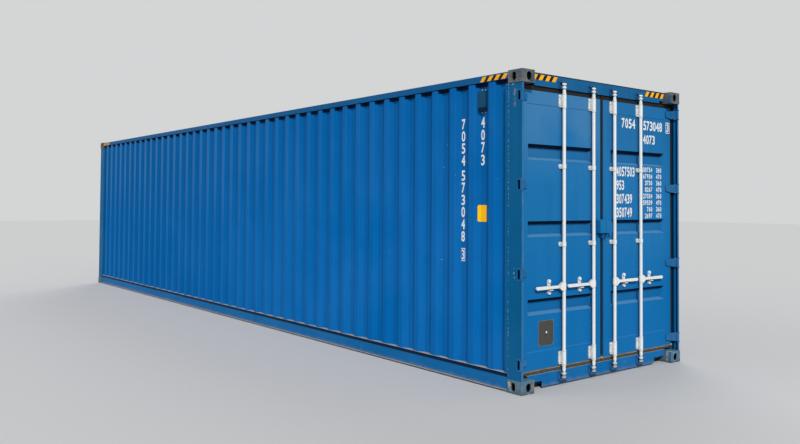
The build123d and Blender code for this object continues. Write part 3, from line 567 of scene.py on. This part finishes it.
def rubber(name):
    """Black door gasket, dusty; the bottom run has a pale dry line over grey mud."""
    g = Graph(name, 0.2)
    base = g.mix(g.noise(22, 4), (0.008, 0.008, 0.008, 1), (0.022, 0.021, 0.02, 1))
    mud_spots = g.spots(0.35, 0.65, 28, 4, shift=9)
    mud = g.mix(mud_spots, (0.09, 0.088, 0.075, 1), (0.05, 0.05, 0.044, 1))
    base = g.layer(base, g.step(g.z, DOOR_FOOT + 0.03, DOOR_FOOT + 0.01), 0.95, mud)
    wave = g.math("SUBTRACT", g.noise(7, 4, shift=4), 0.5)
    dry = g.band(g.plus(g.z, wave, 0.016), DOOR_FOOT - 0.014, DOOR_FOOT + 0.004, 0.003)
    dry_tone = g.mix(g.noise(40, 4, shift=3), (0.56, 0.47, 0.36, 1), (0.36, 0.30, 0.22, 1))
    base = g.layer(base, dry, 0.9, dry_tone)
    base = g.layer(base, g.edges(0.004), 0.12, (0.12, 0.11, 0.1, 1))
    return g.finish(base, 0.78, g.noise(60, 4, shift=1), 0.3, 0.002)


def plate_metal(name):
    """Dull data plate with no lettering: a brushed, dirty sheet with a lighter rim."""
    g = Graph(name, 0.3)
    brushed = g.noise(14, 3, stretch=(1, 1, 22))
    base = g.mix(brushed, (0.045, 0.045, 0.04, 1), (0.07, 0.068, 0.06, 1))
    base = g.layer(base, g.spots(0.5, 0.66, 11, 5, shift=6), 0.5, (0.03, 0.028, 0.024, 1))
    base = g.layer(base, g.edges(0.005, 0.01, 0.15), 0.75, (0.4, 0.31, 0.2, 1))
    return g.finish(base, g.plus(0.5, brushed, 0.2), brushed, 0.1, 0.001)


def plywood(name):
    """Floor boards running along the container: joints, grain and wear."""
    g = Graph(name, 0.3)
    board_width, first_board = 0.24, -3.0
    boards = g.math("DIVIDE", g.math("SUBTRACT", g.y, first_board), board_width)
    within = g.math("FRACT", boards)
    joint = g.math("ADD", g.step(within, 0.03, 0.0), g.step(within, 0.97, 1.0), clamp=True)
    grain = g.noise(7, 6, stretch=(0.35, 9, 9), shift=2)
    board_tone = g.math("FRACT", g.math("MULTIPLY", g.math("FLOOR", boards), 0.37))
    wood = g.mix(grain, srgb(104, 70, 42), srgb(164, 122, 80))
    wood = g.layer(wood, board_tone, 0.35, srgb(84, 56, 36))
    scuff = g.spots(0.52, 0.68, 3, 5, stretch=(0.4, 1.6, 1), shift=8)
    wood = g.layer(wood, scuff, 0.5, srgb(70, 56, 46))
    wood = g.mix(joint, wood, srgb(28, 22, 18))
    return g.finish(wood, 0.72, g.math("SUBTRACT", grain, joint), 0.35, 0.003)


def moulding(name):
    """Grey-blue ventilator hoods with dust on top, a mouth painted black as shade and painted shade
    in creases.
    """
    g = Graph(name, 0.06)
    base = g.mix(g.noise(16, 4), (0.003, 0.055, 0.125, 1), (0.010, 0.08, 0.165, 1))
    base = g.layer(base, g.step(g.nz, 0.3, 0.7), 0.4, DUST)
    # Painted shade: the mouth black
    mouth = VENT_LOW.z + 0.034
    base = g.layer(base, g.step(g.z, mouth + 0.004, mouth - 0.004), 0.85, (0.0, 0.004, 0.008, 1))
    # Painted shade in creases
    base = g.layer(base, g.crevice(0.03), 0.7, (0.006, 0.01, 0.014, 1))
    base = g.layer(base, g.edges(0.004), 0.2, (0.12, 0.22, 0.32, 1))
    return g.finish(base, 0.55, g.noise(120, 2), 0.1, 0.001)


def sticker(name, first, second, scuffs):
    """Printed film: slightly uneven colour with small scuffs."""
    g = Graph(name, 0.15)
    base = g.mix(g.noise(20, 4), first, second)
    base = g.layer(base, g.spots(0.62, 0.7, 60, 5, shift=5), scuffs, WALL_BLUE)
    return g.finish(base, 0.5, g.noise(140, 2, shift=2), 0.08, 0.001)


PAINTS = {
    "wall_paint": {
        "colour": WALL_BLUE,
        "wear": 0.2,
        "rust": 0.05,
        "grime_and_shade": 0.15,
        "specular": 0.03,
        "inside": "side",
        "marks": side_marks,
    },
    "front_wall_paint": {
        "colour": WALL_BLUE,
        "wear": 0.2,
        "rust": 0.05,
        "inside": "front",
        "marks": wall_marks,
    },
    "roof_paint": {
        "colour": WALL_BLUE,
        "wear": 0.3,
        "rust": 0.15,
        "inside": "roof",
        "marks": roof_marks,
    },
    "frame_paint": {"colour": FRAME_BLUE, "wear": 0.6, "rust": 0.35, "marks": ledge_marks},
    "top_rail_paint": {"colour": TOP_RAIL_BLUE, "wear": 0.6, "rust": 0.3},
    "rail_paint": {"colour": FRAME_BLUE, "wear": 0.6, "rust": 0.35, "marks": rail_marks},
    "header_paint": {"colour": HEADER_BLUE, "wear": 0.5, "rust": 0.25, "marks": header_marks},
    "post_paint": {"colour": POST_BLUE, "wear": 0.7, "rust": 0.5, "marks": post_marks},
    "door_paint": {
        "colour": DOOR_BLUE,
        "wear": 0.3,
        "rust": 0.1,
        "inside": "door",
        "marks": door_marks,
    },
    "panel_paint": {
        "colour": DOOR_BLUE,
        "wear": 0.2,
        "rust": 0.05,
        "inside": "door",
        "marks": tray_marks,
    },
    "hinge_paint": {
        "colour": HINGE_BLUE,
        "faded": HINGE_FADED,
        "wear": 0.9,
        "rust": 0.6,
        "grime_and_shade": 0.95,
    },
    "under_paint": {"colour": UNDER_BLUE, "faded": UNDER_FADED, "marks": under_marks},
}
OTHER_LOOKS = {
    "fitting_paint": fitting_paint,
    "gear_white": white_paint,
    "gasket_rubber": rubber,
    "floor_wood": plywood,
    "vent_plastic": moulding,
    "plate_metal": plate_metal,
}
# Two colours and the strength of the scuffs
FILMS = {
    "number_film": ((0.82, 0.84, 0.84, 1), (0.74, 0.77, 0.78, 1), 0.25),
    "yellow_film": ((1.0, 0.56, 0.006, 1), (0.95, 0.5, 0.004, 1), 0.15),
    "stripe_yellow": ((1.0, 0.5, 0.006, 1), (0.92, 0.4, 0.003, 1), 0.4),
    "stripe_black": ((0.005, 0.005, 0.005, 1), (0.009, 0.009, 0.009, 1), 0.4),
}
materials = {name: painted(name, **look) for name, look in PAINTS.items()}
materials.update({name: make(name) for name, make in OTHER_LOOKS.items()})
materials.update({name: sticker(name, *look) for name, look in FILMS.items()})

# Nodes whose paint is not named like their material slot
OWN_PAINT = {
    "front_wall_paint": ("front_wall",),
    "roof_paint": ("roof",),
    "header_paint": ("door_header",),
    "top_rail_paint": ("top_side_rails",),
    "rail_paint": ("left_bottom_side_rail", "right_bottom_side_rail"),
    "post_paint": ("left_rear_post", "right_rear_post", "front_corner_posts"),
    "panel_paint": ("left_door_panel", "right_door_panel"),
    "hinge_paint": (
        "hinge_lugs",
        "left_door_hinges",
        "right_door_hinges",
        "header_cam_keepers",
        "sill_cam_keepers",
    ),
    "under_paint": (
        "cross_members",
        "left_tunnel_outriggers",
        "right_tunnel_outriggers",
        "gooseneck_tunnel",
    ),
}
node_paint = {row["node"]: row["material_slot"] for row in frame["record"]["subparts"]}
for paint_name, node_names in OWN_PAINT.items():
    node_paint.update(dict.fromkeys(node_names, paint_name))
for node_name, node in nodes.items():
    node.data.materials.clear()
    node.data.materials.append(materials[node_paint[node_name]])


# Added pieces


def piece(name, bm, material, body):
    """A finished mesh as an object that rides a body."""
    mesh = bpy.data.meshes.new(name)
    bmesh.ops.recalc_face_normals(bm, faces=bm.faces)
    bm.to_mesh(mesh)
    bm.free()
    obj = bpy.data.objects.new(name, mesh)
    bpy.context.scene.collection.objects.link(obj)
    mesh.materials.append(materials[material])
    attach(obj, body)
    return obj


def facing_to(normal):
    """Rotation whose Z is the normal and whose Y is up."""
    z_axis = Vector(normal)
    y_axis = Vector((0, 0, 1))
    x_axis = y_axis.cross(z_axis)
    return Matrix((x_axis, y_axis, z_axis)).transposed().to_4x4()


DOOR_FACING = facing_to((1, 0, 0))
WALL_FACING = {sign: facing_to((0, sign, 0)) for _, sign in SIDES}

# A bolt head on its washer: shares of the radius and the height
WASHER_SIDES = 20
WASHER_WIDE = 1.55
WASHER_TOP = 0.28
HEAD_PROFILE = ((1.05, 0.3), (1.0, 0.86), (0.8, 1.0))


def stud(bm, centre, facing, radius, height, sides=6, turn=0.0):
    """A bolt head on a washer: rings of a turned profile, closed on top."""
    place = Matrix.Translation(centre) @ facing @ Matrix.Rotation(turn, 4, "Z")
    parts = (
        (((WASHER_WIDE, 0.0), (WASHER_WIDE, WASHER_TOP)), WASHER_SIDES, True),
        (HEAD_PROFILE[:2], sides, False),
        (HEAD_PROFILE[1:], sides, True),
    )
    for profile, count, closed in parts:
        rings = []
        for wide, tall in profile:
            ring = []
            for index in range(count):
                angle = 2 * math.pi * index / count
                x = math.cos(angle) * wide * radius
                y = math.sin(angle) * wide * radius
                ring.append(bm.verts.new(place @ Vector((x, y, tall * height))))
            rings.append(ring)
        low, high = rings
        for index in range(count):
            follow = (index + 1) % count
            bm.faces.new((low[index], low[follow], high[follow], high[index]))
        if closed:
            bm.faces.new(high)


def glyph_mesh(char, width, height, bold):
    """Flat mesh of one digit, its box's centre at the origin."""
    curve = bpy.data.curves.new("glyph", "FONT")
    curve.body = char
    curve.size = 1.0
    curve.offset = bold
    curve.resolution_u = 4
    curve.fill_mode = "FRONT"
    holder = bpy.data.objects.new("glyph", curve)
    bpy.context.scene.collection.objects.link(holder)
    bpy.context.view_layer.update()
    graph = bpy.context.evaluated_depsgraph_get()
    mesh = bpy.data.meshes.new_from_object(holder.evaluated_get(graph))
    bpy.data.objects.remove(holder)
    bpy.data.curves.remove(curve)
    xs = [v.co.x for v in mesh.vertices]
    ys = [v.co.y for v in mesh.vertices]
    tall = height / (max(ys) - min(ys))
    wide = width / (max(xs) - min(xs))
    shift = Matrix.Translation((-(max(xs) + min(xs)) / 2, -(max(ys) + min(ys)) / 2, 0))
    mesh.transform(Matrix.Diagonal((wide, tall, 1, 1)) @ shift)
    return mesh


BOLD = 0.024
SMALL_BOLD = 0.028


def write(bm, text, size, start, step, facing, bold=BOLD):
    """Adds digits of a width and height to a mesh, one step apart, from the first one's middle."""
    spot = Vector(start)
    for char in text:
        mesh = glyph_mesh(char, *size, bold)
        mesh.transform(Matrix.Translation(spot) @ facing)
        bm.from_mesh(mesh)
        bpy.data.meshes.remove(mesh)
        spot = spot + Vector(step)


def frame_box(bm, centre, size, line, facing):
    """A flat rectangular outline."""
    place = Matrix.Translation(centre) @ facing
    half_x, half_y = (length / 2 for length in size)
    outer = [(-half_x, -half_y), (half_x, -half_y), (half_x, half_y), (-half_x, half_y)]
    inner = [(x - math.copysign(line, x), y - math.copysign(line, y)) for x, y in outer]
    far = [bm.verts.new(place @ Vector((x, y, 0))) for x, y in outer]
    near = [bm.verts.new(place @ Vector((x, y, 0))) for x, y in inner]
    for index in range(4):
        follow = (index + 1) % 4
        bm.faces.new((far[index], far[follow], near[follow], near[index]))


# Plain numbers in place of the markings: down both side walls, in recesses near one end
LONG_GROUPS = ("7054", "573048", "3")
SHORT_GROUP = "4073"
BOX_LINE = 0.008
DIGIT_SHIFT = 0.012
SIDE_DIGIT = (0.052, 0.102)
SIDE_STEP = (0, 0, -0.1175)
SIDE_GROUP_Z = (2.456, 2.456 - 0.4985, 1.194)
SIDE_BOX_DIGIT = (0.036, 0.098)
SIDE_BOX = (0.060, 0.126)
SIDE_SHORT_DIGIT = (0.050, 0.102)
SIDE_SHORT_Z = 2.455
SIDE_SHORT_STEP = (0, 0, -0.1185)
NO_STEP = (0, 0, 0)


def side_numbers(name, sign):
    """White digits in two recesses of a side wall; the right wall has them at its other end."""
    facing = WALL_FACING[sign]
    wall_y = sign * (WALL_RECESS + DECAL_LIFT)
    end = -sign
    long_x = end * (LONG_RECESS_X - DIGIT_SHIFT)
    short_x = end * (SHORT_RECESS_X - DIGIT_SHIFT)
    bm = bmesh.new()
    first, second, boxed = ((long_x, wall_y, z) for z in SIDE_GROUP_Z)
    write(bm, LONG_GROUPS[0], SIDE_DIGIT, first, SIDE_STEP, facing)
    write(bm, LONG_GROUPS[1], SIDE_DIGIT, second, SIDE_STEP, facing)
    write(bm, LONG_GROUPS[2], SIDE_BOX_DIGIT, boxed, NO_STEP, facing)
    frame_box(bm, boxed, SIDE_BOX, BOX_LINE, facing)
    short = (short_x, wall_y, SIDE_SHORT_Z)
    write(bm, SHORT_GROUP, SIDE_SHORT_DIGIT, short, SIDE_SHORT_STEP, facing)
    piece(name, bm, "number_film", "container")


for side_name, sign in SIDES:
    side_numbers(f"{side_name}_side_numbers", sign)

# Numbers on the right door: a heading, a short line under it, and a table
DOOR_DIGIT = (0.050, 0.100)
DOOR_BOX_DIGIT = (0.042, 0.086)
DOOR_BOX = (0.072, 0.118)
DOOR_SHORT_DIGIT = (0.046, 0.096)
TABLE_HEADS = ("4057503", "953", "307439", "350749")
TABLE_HEAD_DIGIT = (0.037, 0.100)
TABLE_HEAD_Y = 0.252
TABLE_HEAD_TOP = 2.022
TABLE_HEAD_STEP = 0.0440
TABLE_HEAD_DROP = 0.139
TABLE_ROWS = ("30754", "67934", "3750", "8267", "27034", "59539", "760", "2697")
TABLE_UNITS = ("360", "470")
TABLE_DIGIT = (0.027, 0.050)
TABLE_TOP = 2.052
TABLE_LAST_Y = 0.829
TABLE_UNIT_Y = 0.925
TABLE_STEP = 0.0335
TABLE_DROP = 0.0692
DOOR_FILM_X = DOOR_FACE + DECAL_LIFT


def door_line(bm, text, size, y, z, step, bold=BOLD):
    """One line of digits on the right door, from the place of the first one's middle."""
    write(bm, text, size, (DOOR_FILM_X, y, z), (0, step, 0), DOOR_FACING, bold)


bm = bmesh.new()
boxed_y, boxed_z = 1.124, 2.517
door_line(bm, LONG_GROUPS[0], DOOR_DIGIT, 0.345, 2.520, 0.0585)
door_line(bm, LONG_GROUPS[1], DOOR_DIGIT, 0.712, 2.517, 0.0570)
door_line(bm, LONG_GROUPS[2], DOOR_BOX_DIGIT, boxed_y, boxed_z, 0)
frame_box(bm, (DOOR_FILM_X, boxed_y, boxed_z), DOOR_BOX, BOX_LINE, DOOR_FACING)
door_line(bm, SHORT_GROUP, DOOR_SHORT_DIGIT, 0.706, 2.371, 0.0535)
for row, text in enumerate(TABLE_HEADS):
    row_z = TABLE_HEAD_TOP - row * TABLE_HEAD_DROP
    door_line(bm, text, TABLE_HEAD_DIGIT, TABLE_HEAD_Y, row_z, TABLE_HEAD_STEP)
for row, text in enumerate(TABLE_ROWS):
    row_z = TABLE_TOP - row * TABLE_DROP
    start_y = TABLE_LAST_Y - (len(text) - 1) * TABLE_STEP
    unit = TABLE_UNITS[row % 2]
    door_line(bm, text, TABLE_DIGIT, start_y, row_z, TABLE_STEP, SMALL_BOLD)
    door_line(bm, unit, TABLE_DIGIT, TABLE_UNIT_Y, row_z, TABLE_STEP, SMALL_BOLD)
piece("right_door_numbers", bm, "number_film", "right_door")

# Blank yellow plate in the recess under the short number, bent to the sheet
YELLOW_Z = (1.517, 1.674)
YELLOW_REACH = (0.0655, 0.0555)
YELLOW_CORNER = 0.014
YELLOW_COLUMNS = 28
YELLOW_LIFT = DECAL_LIFT + 0.0004
RECESS_HALF = 0.03475
FOLD_TILT = 0.036 / 0.068


def bent_plate(name, centre_x, sign):
    """A thin film with rounded corners that follows the folds of the side sheet."""
    z_low, z_high = YELLOW_Z
    reach_low, reach_high = YELLOW_REACH
    bm = bmesh.new()
    columns = []
    for index in range(YELLOW_COLUMNS + 1):
        along = -reach_low + (reach_low + reach_high) * index / YELLOW_COLUMNS
        over = max(0.0, abs(along) - RECESS_HALF)
        y = sign * (WALL_RECESS + YELLOW_LIFT + over * FOLD_TILT)
        edge = min(along + reach_low, reach_high - along)
        trim = 0.0
        if edge < YELLOW_CORNER:
            inset = YELLOW_CORNER - edge
            trim = YELLOW_CORNER - math.sqrt(max(0.0, YELLOW_CORNER**2 - inset**2))
        x = centre_x + along
        columns.append((bm.verts.new((x, y, z_low + trim)), bm.verts.new((x, y, z_high - trim))))
    for (low_a, high_a), (low_b, high_b) in zip(columns, columns[1:]):
        bm.faces.new((low_a, low_b, high_b, high_a))
    piece(name, bm, "yellow_film", "container")


for side_name, sign in SIDES:
    bent_plate(f"{side_name}_yellow_plate", -sign * SHORT_RECESS_X, sign)

# Black bead along the top of the header
BEAD_DEEP = 0.020
BEAD_TALL = 0.0074
BEAD_BACK = 0.011
BEAD_RISE = 0.0033
BEAD_CUT = 0.002
bm = bmesh.new()
bead_middle = (HEADER_HIGH.x - BEAD_BACK, 0, HEADER_HIGH.z + BEAD_RISE)
bead_size = Matrix.Diagonal((BEAD_DEEP, 2 * HEADER_HIGH.y - BEAD_CUT, BEAD_TALL, 1))
bmesh.ops.create_cube(bm, size=1, matrix=Matrix.Translation(bead_middle) @ bead_size)
piece("header_top_bead", bm, "gasket_rubber", "container")

# Hazard stripes on the header and at both ends of the top side rails
YELLOW_SHARE = 0.54
STRIPE_BARS = 7
HEADER_STRIPE_TOP = 2.880
# Start, pitch, foot, slant and limit
HEADER_STRIPES = {
    "left": (-1.009, 0.090, 2.830, 0.67, 1.0),
    "right": (0.712, 0.089, 2.827, 0.65, 1.0565),
}
RAIL_STRIPE_STARTS = (("rear", 5.538), ("front", -5.911))
RAIL_STRIPE_PITCH = 0.0945
RAIL_STRIPE_Z = (2.829, 2.875)
RAIL_STRIPE_SLANT = 0.85
RAIL_STRIPE_LIMIT = 5.9165


def stripe_strip(name, first, pitch, z_low, z_high, slant, plane, along, limit):
    """Four yellow bars with black ones between, leaning, along X or Y; cut off at the limit."""
    lean = (z_high - z_low) * slant
    bm = bmesh.new()
    for index in range(STRIPE_BARS):
        pair, black = divmod(index, 2)
        low = first + (pair + black * YELLOW_SHARE) * pitch
        high = first + (pair + (1 if black else YELLOW_SHARE)) * pitch
        top_low, top_high = min(limit, low + lean), min(limit, high + lean)
        corners = ((low, z_low), (high, z_low), (top_high, z_high), (top_low, z_high))
        points = [(u, plane, z) if along == "x" else (plane, u, z) for u, z in corners]
        bar = bm.faces.new([bm.verts.new(p) for p in points])
        bar.material_index = black
    strip = piece(name, bm, "stripe_yellow", "container")
    strip.data.materials.append(materials["stripe_black"])


header_x = HEADER_HIGH.x + DECAL_LIFT
for side_name, (first, pitch, z_low, slant, limit) in HEADER_STRIPES.items():
    strip_name = f"header_stripes_{side_name}"
    stripe_strip(strip_name, first, pitch, z_low, HEADER_STRIPE_TOP, slant, header_x, "y", limit)
rail_y = TOP_RAIL_Y + DECAL_LIFT
for side_name, sign in SIDES:
    for end_name, first in RAIL_STRIPE_STARTS:
        stripe_strip(
            f"{side_name}_rail_stripes_{end_name}",
            first,
            RAIL_STRIPE_PITCH,
            *RAIL_STRIPE_Z,
            RAIL_STRIPE_SLANT,
            sign * rail_y,
            "x",
            RAIL_STRIPE_LIMIT,
        )

# Rubber flap beside the outer edge of each door, over the gap to the post: X and Y of its section
FLAP_PROFILE = (
    (5.990, 1.1715),
    (6.0072, 1.1715),
    (6.0072, 1.2045),
    (6.0046, 1.2045),
    (6.0046, 1.1755),
    (5.990, 1.1755),
)
FLAP_Z = (0.150, 2.770)
for side_name, sign in SIDES:
    bm = bmesh.new()
    rings = [[bm.verts.new((x, sign * y, z)) for x, y in FLAP_PROFILE] for z in FLAP_Z]
    for ring in rings:
        bm.faces.new(ring)
    low, high = rings
    for index in range(len(FLAP_PROFILE)):
        follow = (index + 1) % len(FLAP_PROFILE)
        bm.faces.new((low[index], low[follow], high[follow], high[index]))
    piece(f"{side_name}_seal_flap", bm, "gasket_rubber", f"{side_name}_door")

# Rivets above and below the ventilators
VENT_RIVET = (0.004, 0.004, 12)
VENT_RIVET_X = 0.022
VENT_RIVET_Z = 0.012
for side_name, sign in SIDES:
    bm = bmesh.new()
    for dx in (-VENT_RIVET_X, VENT_RIVET_X):
        for z in (VENT_LOW.z - VENT_RIVET_Z, VENT_HIGH.z + VENT_RIVET_Z):
            spot = (-sign * SHORT_RECESS_X + dx, sign * WALL_RECESS, z)
            stud(bm, spot, WALL_FACING[sign], *VENT_RIVET)
    piece(f"{side_name}_vent_rivets", bm, "gear_white", "container")

# Bolts on the brackets and guides of the lock bars
BOLT = (0.0075, 0.007)
BOLT_Y = 0.0345
BOLT_Z = 0.036
plate_x = DOOR_FACE + GEAR_PLATE
for side_name, sign in SIDES:
    bm = bmesh.new()
    for rod in RODS:
        columns = (sign * rod - BOLT_Y, sign * rod + BOLT_Y)
        spots = [(y, z + dz) for z in BRACKETS for y in columns for dz in (-BOLT_Z, BOLT_Z)]
        spots += [(y, z) for z in GUIDES for y in columns]
        for y, z in spots:
            stud(bm, (plate_x, y, z), DOOR_FACING, *BOLT, turn=rng.uniform(0, 1))
    piece(f"{side_name}_gear_bolts", bm, "gear_white", f"{side_name}_door")

# Rivets of the data plate: four dull ones, and one bright one near its middle
PLATE_RIVET = (0.004, 0.003, 12)
PLATE_RIVET_INSET = 0.012
PLATE_STAMP = (0.007, 0.003, 16)
STAMP_Y = 0.004
STAMP_Z = 0.006
bm = bmesh.new()
for y in (PLATE_LOW.y + PLATE_RIVET_INSET, PLATE_HIGH.y - PLATE_RIVET_INSET):
    for z in (PLATE_LOW.z + PLATE_RIVET_INSET, PLATE_HIGH.z - PLATE_RIVET_INSET):
        stud(bm, (PLATE_HIGH.x, y, z), DOOR_FACING, *PLATE_RIVET)
piece("data_plate_rivets", bm, "plate_metal", "left_door")
bm = bmesh.new()
plate_middle = (PLATE_LOW + PLATE_HIGH) / 2
stamp_spot = (PLATE_HIGH.x, plate_middle.y + STAMP_Y, plate_middle.z + STAMP_Z)
stud(bm, stamp_spot, DOOR_FACING, *PLATE_STAMP)
piece("data_plate_stamp", bm, "gear_white", "left_door")

# Rounding of the hard edges of CAD nodes: width, segments, and how the nodes' names end
SOFT_EDGES = (
    (0.010, 3, ("_corner_fittings",)),
    (0.002, 2, ("_handle", "_lock_bar", "_rod_brackets", "_handle_catches")),
    (0.002, 2, ("_cam_keepers", "_door_hinges", "hinge_lugs")),
    (0.0025, 2, ("_door_panel", "_lock_box")),
    (0.003, 2, ("_rear_post", "front_corner_posts", "top_side_rails", "door_header")),
    (0.004, 2, ("_side_wall",)),
)
SHARPEST = math.radians(35)
for width, segments, endings in SOFT_EDGES:
    for node_name, node in nodes.items():
        if node_name.endswith(endings):
            bevel = node.modifiers.new("edge", "BEVEL")
            bevel.width = width
            bevel.segments = segments
            bevel.limit_method = "ANGLE"
            bevel.angle_limit = SHARPEST
            bevel.harden_normals = True

# Floor, backdrop, lights and camera
BACKDROP = (0.66, 0.665, 0.67, 1)
SKY = (0.92, 0.96, 1.0, 1)
SKY_STRENGTH = 0.4
FLOOR_LIT = (0.28, 0.28, 0.28, 1)
FLOOR_SEEN = (0.52, 0.52, 0.525, 1)
FLOOR_HALF = 60.0
FLOOR_DROP = 0.001


def seen_directly(tree):
    """1 for rays that show the background itself: camera, mirror and glass rays."""
    path = tree.nodes.new("ShaderNodeLightPath")
    value = path.outputs["Is Camera Ray"]
    for kind in ("Is Glossy Ray", "Is Transmission Ray"):
        most = tree.nodes.new("ShaderNodeMath")
        most.operation = "MAXIMUM"
        tree.links.new(value, most.inputs[0])
        tree.links.new(path.outputs[kind], most.inputs[1])
        value = most.outputs[0]
    return value


floor_mesh = bpy.data.meshes.new("studio_floor")
quarters = ((-1, -1), (1, -1), (1, 1), (-1, 1))
floor_corners = [(x * FLOOR_HALF, y * FLOOR_HALF, 0) for x, y in quarters]
floor_mesh.from_pydata(floor_corners, [], [(0, 1, 2, 3)])
floor = bpy.data.objects.new("studio_floor", floor_mesh)
bpy.context.scene.collection.objects.link(floor)
floor.location.z = -FLOOR_DROP
floor_graph = Graph("studio_floor", 0.0)
floor_colour = floor_graph.mix(seen_directly(floor_graph.tree), FLOOR_LIT, FLOOR_SEEN)
floor_graph.finish(floor_colour, 0.95)
floor_mesh.materials.append(floor_graph.material)

world = bpy.data.worlds.new("studio")
bpy.context.scene.world = world
world.use_nodes = True
tree = world.node_tree
tree.nodes.clear()
pick = tree.nodes.new("ShaderNodeMixShader")
for socket, colour, strength in ((1, SKY, SKY_STRENGTH), (2, BACKDROP, 1.0)):
    background = tree.nodes.new("ShaderNodeBackground")
    background.inputs[0].default_value = colour
    background.inputs[1].default_value = strength
    tree.links.new(background.outputs[0], pick.inputs[socket])
world_out = tree.nodes.new("ShaderNodeOutputWorld")
tree.links.new(seen_directly(tree), pick.inputs[0])
tree.links.new(pick.outputs[0], world_out.inputs[0])

WARM = (1.0, 0.98, 0.95)
WHITE = (1, 1, 1)
# Name, direction to the lamp, strength, angle across in degrees, colour
LAMPS = (
    ("key", (0.677, -0.406, 0.613), 2.6, 5, WARM),
    ("door_fill", (0.9, -0.2, 0.3), 0.4, 40, WHITE),
    ("side_fill", (-0.45, -0.8, 0.4), 0.55, 40, WHITE),
    ("back_fill", (-0.6, 0.6, 0.5), 1.2, 40, WHITE),
)
for lamp_name, towards, strength, angle, colour in LAMPS:
    light = bpy.data.lights.new(lamp_name, "SUN")
    light.energy = strength
    light.angle = math.radians(angle)
    light.color = colour
    lamp = bpy.data.objects.new(lamp_name, light)
    bpy.context.scene.collection.objects.link(lamp)
    lamp.rotation_euler = Vector(towards).to_track_quat("Z", "Y").to_euler()

# The camera solved from the photo's corner points: place, and yaw, pitch and roll in degrees
CAMERA_PLACE = (10.92985, -6.19775, 1.69627)
CAMERA_TURN = (140.206, 1.578, 0.315)
yaw, pitch, roll = (math.radians(angle) for angle in CAMERA_TURN)
ahead = math.cos(pitch)
forward = Vector((ahead * math.cos(yaw), ahead * math.sin(yaw), math.sin(pitch)))
level = Vector((math.sin(yaw), -math.cos(yaw), 0))
upright = level.cross(forward)
right = level * math.cos(roll) + upright * math.sin(roll)
up = -level * math.sin(roll) + upright * math.cos(roll)
camera_data = bpy.data.cameras.new("camera")
camera_data.sensor_width = 36
camera_data.lens = 35.125
camera_data.shift_x = -0.0491
camera_data.shift_y = -0.0513
camera_data.clip_end = 300
camera = bpy.data.objects.new("camera", camera_data)
bpy.context.scene.collection.objects.link(camera)
turn = Matrix((right, up, -forward)).transposed().to_4x4()
camera.matrix_world = Matrix.Translation(CAMERA_PLACE) @ turn
bpy.context.scene.camera = camera
bpy.context.scene.view_settings.view_transform = "Standard"
